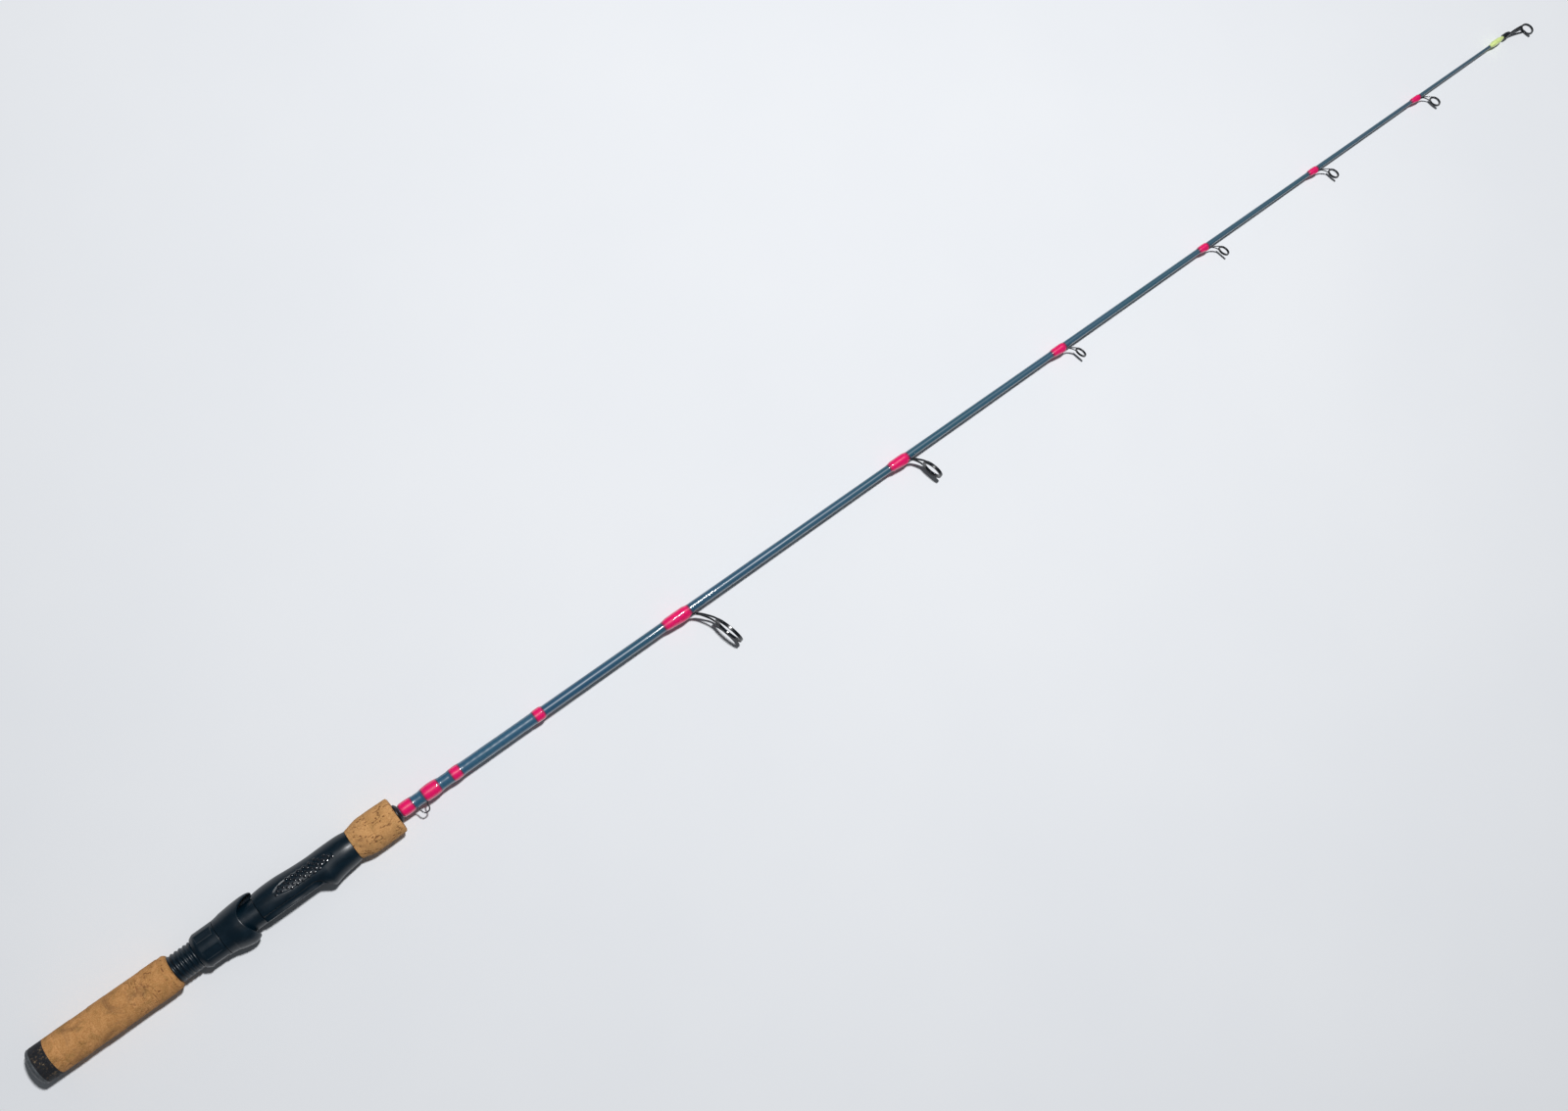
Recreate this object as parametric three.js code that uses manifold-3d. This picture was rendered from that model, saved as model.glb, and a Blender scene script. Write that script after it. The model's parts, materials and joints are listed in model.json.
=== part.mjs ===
// Short spinning rod: cork grips, screw-locking reel seat, tubular glass blank and ring guides.
// Millimetres. The rod's own frame has its axis on X, butt at x = 0 and tip at +X, with the reel
// foot and the guides towards -Y. The finished group lies on z = 0, on its hood and guide rings.
import * as THREE from 'three';
import { mergeVertices } from 'three/addons/utils/BufferGeometryUtils.js';
import Module from 'manifold-3d';

// ---- driving dimensions -------------------------------------------------------------------

const GAP = 0.3;              // clearance between neighbouring solids
const CORK_RING = 12.7;       // one pressed cork ring, half an inch thick

const BLANK = { start: 6, end: 1349, buttRadius: 5.12, taper: 0.002925, wall: 1.1, tipWall: 0.55 };

const BUTT = { domeEnd: 4.6, ringEnd: 14.4, radius: 13.0, spigotRadius: 3.5, spigotEnd: 16 };
const REAR_GRIP = { end: 104.3, firstJoint: 22.0, radius: 13.1, frontEase: 3.0, recess: 4.2 };
const FORE_GRIP = { start: 241.2, joints: [257.4, 270.1], end: 276.0, rearRadius: 11.3,
  bellyStart: 254, radius: 13.75, frontEase: 1.2 };

const SEAT = { start: 100.4, shoulder: 168.9, end: 241.2, bore: 8.0, barrelRadius: 10.0 };
const SEAT_OUTLINE = [
  [168.9, 11.2], [171, 11.7], [178.7, 12.75], [188, 12.8], [198, 12.05], [210.5, 11.5],
  [223, 11.8], [235, 11.75], [241.2, 11.0],
];
const BED = { start: 157, end: 212.3, depth: 9.8, mouthRun: 14.2, cutDepth: 20, halfWidth: 14 };
const POCKET = { start: 210, end: 231, ceiling: 14.0, endHeight: 1.6, floorHalfWidth: 6.4, ceilingHalfWidth: 4.4 };
const FIXED_HOOD = { start: 208, apex: 219.5, height: 3.7 };
const ARBORS = { rear: [106, 160], front: [178, 236], radius: 7.7 };

const THREAD = { pitch: 3.14, start: 101, end: 155, root: 9.45, crest: 10.3, rowsPerTurn: 4, clearance: 0.35 };
const NUT = { start: 121.8, end: 139.55, rearRadius: 11.2, chamferEnd: 125, radius: 13.0 };
const NUT_GRIP = { count: 6, start: 125.6, end: 137.6, width: 6.5, depth: 0.7 };
const SNAP = { neck: 11.5, lip: 12.0, lipStart: 141.7, lipEnd: 143.4 };
const HOOD = { start: 139.85, stretchStart: 146, side: 155.9, backReach: 13.6, footReach: 6.4,
  footBulge: 0.9, bearingStart: 143.8, bearingEnd: 145.6, bearing: 10.7, rimRadius: 15.55, sides: 24 };

const CHECK = { start: 276.3, end: 278.6, rearRadius: 7.0, frontRadius: 5.3 };
const KEEPER = { start: 283, rear: 290.1, front: 296.4, end: 303, reach: 10.85, wire: 0.45 };
const COATS = [
  { name: 'trim_wrap_1', from: 278.9, to: 289.2, thickness: 0.75, finish: 'pink', channel: 1.5 },
  { name: 'keeper_gap_coat', from: 289.5, to: 297.0, thickness: 0.6, finish: 'clear', channel: 9 },
  { name: 'trim_wrap_2', from: 297.3, to: 310.3, thickness: 0.9, finish: 'pink', channel: 1.5 },
  { name: 'trim_gap_coat', from: 310.6, to: 319.8, thickness: 0.6, finish: 'clear' },
  { name: 'trim_wrap_3', from: 320.1, to: 327.9, thickness: 0.65, finish: 'pink' },
  { name: 'long_clear_coat', from: 328.2, to: 388.3, thickness: 0.6, finish: 'clear' },
  { name: 'trim_wrap_4', from: 388.6, to: 396.7, thickness: 0.65, finish: 'pink' },
];

// Guides from the reel end: ring centre along the rod, its height off the axis, and ring size.
const GUIDES = [
  { centre: 535.8, height: 28.6, ring: 24.8, wrap: [498.5, 521.7] },
  { centre: 729.6, height: 18.9, ring: 17.4, wrap: [702.2, 720.3] },
  { centre: 879.6, height: 11.5, ring: 9.8, wrap: [858.9, 872.5] },
  { centre: 1026.3, height: 11.0, ring: 9.8, wrap: [1007.9, 1017.9] },
  { centre: 1143.6, height: 11.1, ring: 9.8, wrap: [1124.4, 1134.8] },
  { centre: 1256.4, height: 10.7, ring: 9.8, wrap: [1237.5, 1248.3] },
];
const LARGE_RING = 15;        // rings over this outer diameter have the heavier band
const BAND = {
  large: { frame: 0.95, insert: 0.75, width: 1.9, leg: 0.62 },
  small: { frame: 0.7, insert: 0.5, width: 1.5, leg: 0.5 },
};
const GUIDE_TILT = 15;        // degrees that a ring's outer edge leans towards the tip
const FOOT = { width: 2.0, thickness: 0.9, split: 0.58, splay: 55 };

const TIP_WRAP = { from: 1327.8, to: 1343.3, thickness: 0.6 };
const TIP_TOP = { tubeStart: 1343.6, tubeEnd: 1351, tubeRadius: 2.1, centre: 1366.6, height: 5.9,
  ring: 10.8, tilt: 12, arm: 0.55 };

// Where the lying rod meets the surface: its hood's rim behind, and its tip top's arms in front.
const REST = { hoodStation: 155.4, tipRadius: 5.6 };

// ---- materials ----------------------------------------------------------------------------

function material(color, roughness, metalness = 0) {
  return new THREE.MeshStandardMaterial({ color, roughness, metalness });
}

const finishes = {
  cork: () => material(0xc08a52, 0.85),
  composite: () => material(0x2c2622, 0.8),
  rubber: () => material(0x2b2d2e, 0.6),
  plastic: () => material(0x1c2a30, 0.45),
  foam: () => material(0xcfc8a8, 0.9),
  glass: () => material(0x3f6a80, 0.25),
  pink: () => material(0xe6005f, 0.2),
  clear: () => material(0x6f8ea0, 0.15),
  lime: () => material(0xd7eb82, 0.2),
  blackMetal: () => material(0x101214, 0.35, 0.6),
  ceramic: () => material(0x1a1c20, 0.15),
};

// ---- solids and booleans ------------------------------------------------------------------

const wasm = await Module();
wasm.setup();

function toSolid(geometry) {
  const bare = geometry.clone();
  bare.deleteAttribute('normal');
  bare.deleteAttribute('uv');
  const merged = mergeVertices(bare, 1e-4);
  const vertProperties = new Float32Array(merged.attributes.position.array);
  const triVerts = new Uint32Array(merged.index.array);
  return new wasm.Manifold(new wasm.Mesh({ numProp: 3, vertProperties, triVerts }));
}

function toGeometry(solid) {
  const mesh = solid.getMesh();
  const geometry = new THREE.BufferGeometry();
  geometry.setAttribute('position', new THREE.Float32BufferAttribute(mesh.vertProperties, 3));
  geometry.setIndex(new THREE.Uint32BufferAttribute(mesh.triVerts, 1));
  geometry.computeVertexNormals();
  return geometry;
}

function join(geometries) {
  return geometries.map(toSolid).reduce((sum, solid) => sum.add(solid));
}

// A body of revolution about X. The outline is [x, radius] points, outside first in rising x. It
// starts half a side round, so that the body lies on a flat and not on a corner.
function turned(outline, segments = 20) {
  const points = outline.map(([x, radius]) => new THREE.Vector2(radius, x));
  return new THREE.LatheGeometry(points, segments, Math.PI / segments).rotateZ(-Math.PI / 2);
}

// Moves each vertex along x and along its radius. The angle about X starts at +Y, so its cosine is
// 1 on the back of the rod and -1 on the foot side.
function reshape(geometry, move) {
  const position = geometry.attributes.position;
  for (let i = 0; i < position.count; i += 1) {
    const radius = Math.hypot(position.getY(i), position.getZ(i));
    const angle = Math.atan2(position.getZ(i), position.getY(i));
    const [x, newRadius] = move(position.getX(i), radius, angle);
    const scale = newRadius / radius;
    position.setXYZ(i, x, position.getY(i) * scale, position.getZ(i) * scale);
  }
  return geometry;
}

function block(from, to) {
  const size = to.map((value, i) => value - from[i]);
  const centre = to.map((value, i) => (value + from[i]) / 2);
  return new THREE.BoxGeometry(...size).translate(...centre);
}

function roundSection(radius) {
  const section = new THREE.Shape();
  section.absarc(0, 0, radius, 0, 2 * Math.PI);
  return section;
}

// A round wire through the points. Its sides come in pairs, as a full arc has two per segment.
function wire(points, radius, sidePairs = 3, steps = 8) {
  const vectors = points.map((point) => new THREE.Vector3(...point));
  const extrudePath = new THREE.CatmullRomCurve3(vectors, false, 'centripetal');
  const options = { extrudePath, steps, curveSegments: sidePairs };
  return new THREE.ExtrudeGeometry(roundSection(radius), options);
}

// A short straight prism along X, from its section in the plane across the rod.
function prism(section, from, to) {
  const cutter = new THREE.ExtrudeGeometry(section, { depth: to - from, bevelEnabled: false });
  return cutter.rotateY(Math.PI / 2).rotateX(Math.PI).translate(from, 0, 0);
}

const { smoothstep, lerp, degToRad } = THREE.MathUtils;

function blankRadius(x) {
  return BLANK.buttRadius - BLANK.taper * x;
}

// ---- blank and grips ----------------------------------------------------------------------

function blank() {
  const { start, end, wall, tipWall } = BLANK;
  return turned([
    [start, blankRadius(start)],
    [end, blankRadius(end)],
    [end, blankRadius(end) - tipWall],
    [start, blankRadius(start) - wall],
    [start, blankRadius(start)],
  ]);
}

function buttCap() {
  const front = BUTT.domeEnd - GAP;
  const edge = BUTT.radius - 0.2;
  const dome = [0.3, 0.6, 0.8, 0.93, 1].map((part) => {
    const rise = 1 - Math.sqrt(1 - part * part);
    return [rise * (front - 0.8), part * edge];
  });
  return turned([
    [0, 0],
    ...dome,
    [front, edge],
    [front, BUTT.spigotRadius],
    [BUTT.spigotEnd, BUTT.spigotRadius - 0.3],
    [BUTT.spigotEnd, 0],
  ], 24);
}

// A ring round the blank; radiusAt gives its outside, and an eased front corner rolls inwards.
function gripRing(from, to, radiusAt, frontEase = 0) {
  const bore = blankRadius(from) + GAP;
  const straightEnd = to - frontEase;
  const outline = [[from, bore], [from, radiusAt(from)]];
  outline.push([straightEnd, radiusAt(straightEnd)]);
  if (frontEase > 0) {
    const corner = 0.7;
    outline.push([lerp(straightEnd, to, corner), radiusAt(to) - (1 - corner) * frontEase]);
    outline.push([to, radiusAt(to) - frontEase]);
  }
  outline.push([to, bore], [from, bore]);
  return turned(outline);
}

function rearGripJoints() {
  const joints = [BUTT.ringEnd, REAR_GRIP.firstJoint];
  while (joints.at(-1) + CORK_RING < REAR_GRIP.end) {
    joints.push(joints.at(-1) + CORK_RING);
  }
  return [...joints, REAR_GRIP.end];
}

// The front ring of the rear grip is counterbored over the back end of the reel seat.
function counterboredRing(from, to) {
  const ring = gripRing(from, to, () => REAR_GRIP.radius, REAR_GRIP.frontEase);
  const seatRadius = THREAD.crest + GAP;
  const back = to - REAR_GRIP.recess;
  const past = to + 1;
  const counterbore = turned([[back, 0], [back, seatRadius], [past, seatRadius], [past, 0]]);
  return toGeometry(toSolid(ring).subtract(toSolid(counterbore)));
}

function foreGripRadius(x) {
  const swell = smoothstep(x, FORE_GRIP.start - 4, FORE_GRIP.bellyStart);
  return lerp(FORE_GRIP.rearRadius - 0.6, FORE_GRIP.radius, swell);
}

function windingCheck() {
  const { start, end, rearRadius, frontRadius } = CHECK;
  const bore = blankRadius(start) + GAP;
  const shoulder = start + 0.8;
  return turned([
    [start, bore], [start, rearRadius], [shoulder, rearRadius - 0.2], [end, frontRadius],
    [end, bore], [start, bore],
  ]);
}

// ---- reel seat ----------------------------------------------------------------------------

// Right-hand round thread: the barrel's radius at x, on the line at this angle about the axis.
function threadRadius(x, angle) {
  const { pitch, start, end, root, crest } = THREAD;
  const phase = 2 * Math.PI * (x - start) / pitch - angle;
  const fade = smoothstep(x, start, start + 1) * (1 - smoothstep(x, end - 1, end));
  return root + (crest - root) * fade * (0.5 + 0.5 * Math.cos(phase));
}

// Stations along a threaded stretch, close enough together to carry the crests and roots.
function threadRows(from, to) {
  const count = Math.round(THREAD.rowsPerTurn * (to - from) / THREAD.pitch);
  return Array.from({ length: count + 1 }, (_, i) => lerp(from, to, i / count));
}

function seatOutline() {
  const points = SEAT_OUTLINE.map(([x, radius]) => new THREE.Vector3(x, radius, 0));
  const curve = new THREE.CatmullRomCurve3(points, false, 'centripetal');
  return curve.getPoints(20).map((point) => [point.x, point.y]);
}

// How far the fixed hood stands out on the foot side at x.
function fixedHoodRise(x) {
  const rise = smoothstep(x, FIXED_HOOD.start, FIXED_HOOD.apex);
  const past = THREE.MathUtils.clamp((x - FIXED_HOOD.apex) / (SEAT.end - FIXED_HOOD.apex), 0, 1);
  return FIXED_HOOD.height * rise * (0.15 + 0.85 * (1 - past) ** 2.5);
}

function seatShell() {
  const shell = turned([
    [SEAT.start, SEAT.bore],
    [SEAT.start, THREAD.root],
    ...threadRows(THREAD.start, THREAD.end).map((x) => [x, THREAD.root]),
    [THREAD.end + 0.6, SEAT.barrelRadius],
    [SEAT.shoulder, SEAT.barrelRadius],
    ...seatOutline(),
    [SEAT.end, SEAT.bore],
    [SEAT.start, SEAT.bore],
  ], 24);
  return reshape(shell, (x, radius, angle) => {
    if (radius < SEAT.bore + 0.5) {
      return [x, radius];
    }
    if (x < THREAD.end) {
      return [x, threadRadius(x, angle)];
    }
    const foot = Math.max(0, -Math.cos(angle)) ** 1.5;
    return [x, radius + fixedHoodRise(x) * foot];
  });
}

// Cuts the flat bed for the reel foot and the sloped mouth of the fixed hood.
function bedCutter() {
  const outline = new THREE.Shape();
  outline.moveTo(BED.start, -BED.cutDepth);
  outline.lineTo(BED.end + BED.mouthRun, -BED.cutDepth);
  outline.lineTo(BED.end, -BED.depth);
  outline.lineTo(BED.start, -BED.depth);
  outline.closePath();
  const options = { depth: 2 * BED.halfWidth, bevelEnabled: false };
  return new THREE.ExtrudeGeometry(outline, options).translate(0, 0, -BED.halfWidth);
}

// Cuts the tapering socket under the fixed hood that takes the front of the reel foot.
function pocketCutter() {
  const { start, end, ceiling, endHeight, floorHalfWidth, ceilingHalfWidth } = POCKET;
  const section = new THREE.Shape();
  section.moveTo(-floorHalfWidth, BED.depth);
  section.lineTo(floorHalfWidth, BED.depth);
  section.lineTo(floorHalfWidth, BED.depth + 1.6);
  section.lineTo(ceilingHalfWidth, ceiling);
  section.lineTo(-ceilingHalfWidth, ceiling);
  section.lineTo(-floorHalfWidth, BED.depth + 1.6);
  section.closePath();
  const side = new THREE.Shape();
  side.moveTo(start, -BED.depth);
  side.lineTo(start, -ceiling);
  side.lineTo(FIXED_HOOD.apex, -ceiling);
  side.lineTo(end, -BED.depth - endHeight);
  side.lineTo(end, -BED.depth);
  side.closePath();
  const options = { depth: 2 * floorHalfWidth, bevelEnabled: false };
  const wedge = new THREE.ExtrudeGeometry(side, options).translate(0, 0, -floorHalfWidth);
  return toSolid(prism(section, start, end)).intersect(toSolid(wedge));
}

function reelSeat() {
  const shell = toSolid(seatShell());
  return toGeometry(shell.subtract(toSolid(bedCutter())).subtract(pocketCutter()));
}

function seatArbor([from, to]) {
  const bore = blankRadius(from) + GAP;
  return turned([[from, bore], [from, ARBORS.radius], [to, ARBORS.radius], [to, bore], [from, bore]]);
}

function lockNut() {
  const { lip, neck, lipStart, lipEnd } = SNAP;
  const bore = THREAD.root + THREAD.clearance;
  const plainBore = THREAD.crest + THREAD.clearance;
  const body = turned([
    [NUT.start, bore],
    [NUT.start, NUT.rearRadius],
    [NUT.chamferEnd, NUT.radius - 0.2],
    [NUT.end, NUT.radius],
    [NUT.end, neck],
    [lipStart, neck],
    [lipStart, lip],
    [lipEnd, lip - 0.3],
    [lipEnd, plainBore],
    [NUT.end - 0.4, plainBore],
    ...threadRows(NUT.start, NUT.end - 0.8).reverse().map((x) => [x, bore]),
  ], 24);
  reshape(body, (x, radius, angle) => {
    const inside = radius < bore + 0.01;
    return [x, inside ? threadRadius(x, angle) + THREAD.clearance : radius];
  });
  let solid = toSolid(body);
  for (let i = 0; i < NUT_GRIP.count; i += 1) {
    const floor = NUT.radius - NUT_GRIP.depth;
    const half = NUT_GRIP.width / 2;
    const flat = block([NUT_GRIP.start, -half, floor], [NUT_GRIP.end, half, floor + 4]);
    flat.rotateX(2 * Math.PI * (i + 0.35) / NUT_GRIP.count);
    solid = solid.subtract(toSolid(flat));
  }
  return toGeometry(solid);
}

// Sliding hood: a ring that carries the nut, opening forwards into a scoop with a curved rim.
function slidingHood() {
  const { start, side, bearingStart, bearingEnd, bearing, stretchStart } = HOOD;
  const shell = turned([
    [start, SNAP.neck + GAP],
    [start, 13.1],
    [143.0, 13.5],
    [147.5, 14.5],
    [151.5, 15.35],
    [side - 0.5, HOOD.rimRadius],
    [side, HOOD.rimRadius - 0.45],
    [side - 0.3, 14.4],
    [151.5, 13.95],
    [148.5, 13.2],
    [stretchStart, 11.6],
    [bearingEnd, bearing],
    [bearingStart, bearing],
    [bearingStart, SNAP.lip + GAP + 0.05],
    [SNAP.lipStart - GAP, SNAP.lip + GAP + 0.05],
    [SNAP.lipStart - GAP, SNAP.neck + GAP],
    [start, SNAP.neck + GAP],
  ], HOOD.sides);
  return reshape(shell, (x, radius, angle) => {
    const back = Math.cos(angle);
    const reach = back > 0 ? HOOD.backReach * back ** 2 : HOOD.footReach * back ** 2;
    const stretch = (side + reach - stretchStart) / (side - stretchStart);
    const newX = x > stretchStart ? stretchStart + (x - stretchStart) * stretch : x;
    const bulge = HOOD.footBulge * Math.max(0, -back) ** 2 * smoothstep(x, stretchStart - 3, 151);
    return [newX, radius > bearing + 0.01 && x > bearingEnd ? radius + bulge : radius];
  });
}

// ---- thread wraps and epoxy coats ---------------------------------------------------------

const DEEPEST_COVERED_CHANNEL = 3;

// A coat round the blank. A shallow channel for a foot, on the -Y side, is covered by a swelling.
function coat({ from, to, thickness, channel = 0, channelStart = from - 1 }) {
  const ease = Math.min(2.2, (to - from) / 5);
  const inside = (x) => blankRadius(x) + GAP;
  const thin = 0.25;
  const shell = turned([
    [from, inside(from)],
    [from, inside(from) + thin],
    [from + ease, inside(from + ease) + thickness - GAP],
    [to - ease, inside(to - ease) + thickness - GAP],
    [to, inside(to) + thin],
    [to, inside(to)],
    [from, inside(from)],
  ], 12);
  if (channel === 0) {
    return shell;
  }
  const covered = channel < DEEPEST_COVERED_CHANNEL;
  const swell = covered ? channel + 0.65 - thickness : 0;
  reshape(shell, (x, radius, angle) => {
    const outside = radius > inside(x) + 0.1;
    return [x, outside ? radius + swell * Math.max(0, -Math.cos(angle)) ** 2 : radius];
  });
  const half = FOOT.width / 2 + 0.3;
  const floor = blankRadius(to) - 0.6;
  const cutter = block([channelStart, -blankRadius(from) - channel, -half], [to + 1, -floor, half]);
  return toGeometry(toSolid(shell).subtract(toSolid(cutter)));
}

function hookKeeper() {
  const under = (x) => -(blankRadius(x) + GAP + KEEPER.wire);
  const { start, rear, front, end, reach } = KEEPER;
  const middle = (rear + front) / 2;
  return wire([
    [start, under(start), 0],
    [rear - 2.2, under(rear - 2.2), 0],
    [rear - 1.0, under(rear) - 0.05, 0],
    [rear - 0.2, under(rear) - 1.1, 0],
    [rear, -reach * 0.72, 0],
    [rear + 1.2, -reach * 0.95, 0],
    [middle, -reach, 0],
    [front - 1.2, -reach * 0.95, 0],
    [front, -reach * 0.72, 0],
    [front + 0.2, under(front) - 1.1, 0],
    [front + 1.0, under(front) - 0.05, 0],
    [front + 2.2, under(front + 2.2), 0],
    [end, under(end), 0],
  ], KEEPER.wire, 3, 34);
}

// ---- guides -------------------------------------------------------------------------------

// A flat-sided ring about X.
function band(outer, inner, width) {
  const half = width / 2;
  const segments = outer > LARGE_RING / 2 ? 24 : 18;
  return turned([[-half, inner], [-half, outer], [half, outer], [half, inner], [-half, inner]], segments);
}

function bandSize(guide) {
  return guide.ring > LARGE_RING ? BAND.large : BAND.small;
}

function placeRing(geometry, { centre, height }, tilt) {
  return geometry.rotateZ(degToRad(tilt)).translate(centre, -height, 0);
}

// A point on a tilted ring: angle 0 is the point nearest the blank, 90 the side facing up.
function ringPoint({ centre, height }, tilt, radius, angle) {
  const inwards = radius * Math.cos(degToRad(angle));
  const lean = degToRad(tilt);
  return [
    centre - inwards * Math.sin(lean),
    -height + inwards * Math.cos(lean),
    radius * Math.sin(degToRad(angle)),
  ];
}

// Single-foot frame: a foot under the wrap, a neck that forks, and a hoop round the ring.
function guideFrame(guide) {
  const size = bandSize(guide);
  const outer = guide.ring / 2;
  const [wrapStart, wrapEnd] = guide.wrap;
  const hoop = band(outer, outer - size.frame, size.width);
  const surface = blankRadius(wrapStart) + GAP;
  const footY = -(surface + FOOT.thickness / 2);
  const foot = block(
    [wrapStart + 2.5, footY - FOOT.thickness / 2, -FOOT.width / 2],
    [wrapEnd + 1.4, footY + FOOT.thickness / 2, FOOT.width / 2],
  );
  const nearest = ringPoint(guide, GUIDE_TILT, outer, 0);
  const neckStart = [wrapEnd + 0.8, footY, 0];
  const fork = neckStart.map((value, i) => lerp(value, nearest[i], FOOT.split));
  fork[0] += 0.06 * guide.ring / 2;
  const neck = wire([neckStart, fork], size.leg * 1.25, 3, 3);
  const legs = [1, -1].map((side) => {
    const meet = ringPoint(guide, GUIDE_TILT, outer - size.frame / 2, side * FOOT.splay);
    const bow = fork.map((value, i) => lerp(value, meet[i], 0.5));
    bow[0] += 0.05 * guide.ring;
    return wire([fork, bow, meet], size.leg, 3, 5);
  });
  return toGeometry(join([placeRing(hoop, guide, GUIDE_TILT), foot, neck, ...legs]));
}

function guideRing(guide) {
  const size = bandSize(guide);
  const outer = guide.ring / 2 - size.frame - 0.25;
  const ring = band(outer, outer - size.insert, size.width - 0.2);
  return placeRing(ring, guide, GUIDE_TILT);
}

function guideWrap(guide) {
  const [from, to] = guide.wrap;
  const thickness = from < 800 ? 1.0 : 0.8;
  return coat({ from, to, thickness, channel: FOOT.thickness + 2 * GAP, channelStart: from + 2 });
}

// Tip top: a tube over the blank's end, two side arms and a centre brace carrying the hoop.
function tipTopFrame() {
  const { tubeStart, tubeEnd, tubeRadius, tilt, arm } = TIP_TOP;
  const bore = blankRadius(tubeStart) + GAP;
  const tube = turned([
    [tubeStart, bore], [tubeStart, tubeRadius], [tubeEnd - 0.5, tubeRadius], [tubeEnd, tubeRadius - 0.5],
    [tubeEnd, 0], [BLANK.end + GAP, 0], [BLANK.end + GAP, bore], [tubeStart, bore],
  ], 16);
  const outer = TIP_TOP.ring / 2;
  const hoop = placeRing(band(outer, outer - 0.7, 1.5), TIP_TOP, tilt);
  const arms = [1, -1].map((side) => {
    const meet = ringPoint(TIP_TOP, tilt, outer - 0.35, side * 88);
    const start = [tubeStart + 2.5, -1.0, side * (tubeRadius - 0.3)];
    const bow = start.map((value, i) => lerp(value, meet[i], 0.5));
    bow[2] += side * 0.5;
    return wire([start, bow, meet], arm, 3, 6);
  });
  const brace = wire([
    [tubeEnd - 1.5, -0.9, 0],
    ringPoint(TIP_TOP, tilt, outer - 0.35, 0),
  ], arm, 3, 3);
  return toGeometry(join([tube, hoop, ...arms, brace]));
}

function tipTopRing() {
  const outer = TIP_TOP.ring / 2 - 0.95;
  return placeRing(band(outer, outer - 0.5, 1.3), TIP_TOP, TIP_TOP.tilt);
}

// ---- assembly -----------------------------------------------------------------------------

function node(name, geometry, finish) {
  const mesh = new THREE.Mesh(geometry, finishes[finish]());
  mesh.name = name;
  return mesh;
}

function group(...children) {
  const parent = new THREE.Group();
  parent.add(...children);
  return parent;
}

function rearGrip() {
  const joints = rearGripJoints();
  const last = joints.length - 2;
  const rings = joints.slice(0, -1).map((joint, i) => {
    const from = joint + GAP / 2;
    const to = joints[i + 1] - (i === last ? 0 : GAP / 2);
    const geometry = i === last
      ? counterboredRing(from, to)
      : gripRing(from, to, () => REAR_GRIP.radius);
    return node(`rear_cork_${i + 1}`, geometry, 'cork');
  });
  const composite = gripRing(BUTT.domeEnd, BUTT.ringEnd - GAP / 2, () => BUTT.radius);
  return group(node('butt_cap', buttCap(), 'rubber'), node('butt_ring', composite, 'composite'), ...rings);
}

function foreGrip() {
  const joints = [FORE_GRIP.start + GAP, ...FORE_GRIP.joints, FORE_GRIP.end];
  const last = joints.length - 2;
  const rings = joints.slice(0, -1).map((joint, i) => {
    const from = joint + (i === 0 ? 0 : GAP / 2);
    const to = joints[i + 1] - (i === last ? 0 : GAP / 2);
    const geometry = gripRing(from, to, foreGripRadius, i === last ? FORE_GRIP.frontEase : 0);
    return node(`fore_cork_${i + 1}`, geometry, 'cork');
  });
  return group(...rings, node('winding_check', windingCheck(), 'rubber'));
}

function seatGroup() {
  return group(
    node('reel_seat_body', reelSeat(), 'plastic'),
    node('seat_arbor_rear', seatArbor(ARBORS.rear), 'foam'),
    node('seat_arbor_front', seatArbor(ARBORS.front), 'foam'),
    node('sliding_hood', slidingHood(), 'plastic'),
    node('lock_nut', lockNut(), 'plastic'),
  );
}

function wrapsGroup() {
  const coats = COATS.map((spec) => node(spec.name, coat(spec), spec.finish));
  return group(...coats, node('hook_keeper', hookKeeper(), 'blackMetal'));
}

function guideGroup(guide, index) {
  const name = `guide_${index + 1}`;
  return group(
    node(`${name}_frame`, guideFrame(guide), 'blackMetal'),
    node(`${name}_ring`, guideRing(guide), 'ceramic'),
    node(`${name}_wrap`, guideWrap(guide), 'pink'),
  );
}

function tipGroup() {
  return group(
    node('tip_wrap', coat(TIP_WRAP), 'lime'),
    node('tip_top_frame', tipTopFrame(), 'blackMetal'),
    node('tip_top_ring', tipTopRing(), 'ceramic'),
  );
}

const rod = group(
  node('blank', blank(), 'glass'),
  rearGrip(),
  seatGroup(),
  foreGrip(),
  wrapsGroup(),
  ...GUIDES.map(guideGroup),
  tipGroup(),
);

// The rod lies on a flat of its hood and on its tip top, so its axis falls slightly to the tip.
const drop = HOOD.rimRadius * Math.cos(Math.PI / HOOD.sides) - REST.tipRadius;
rod.rotation.y = Math.atan2(drop, TIP_TOP.centre - REST.hoodStation);

const spinningRod = group(rod);
spinningRod.updateMatrixWorld(true);
const bounds = new THREE.Box3().setFromObject(spinningRod, true);
const middle = bounds.getCenter(new THREE.Vector3());
rod.position.set(-middle.x, -middle.y, -bounds.min.z);
rod.updateMatrixWorld(true);

export default spinningRod;
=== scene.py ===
"""Looks of a short spinning rod: cork grips, screw-locking reel seat, glass blank and ring guides."""
import json
import math

import bmesh
import bpy
import numpy as np
from mathutils import Matrix, Vector, noise


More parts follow.
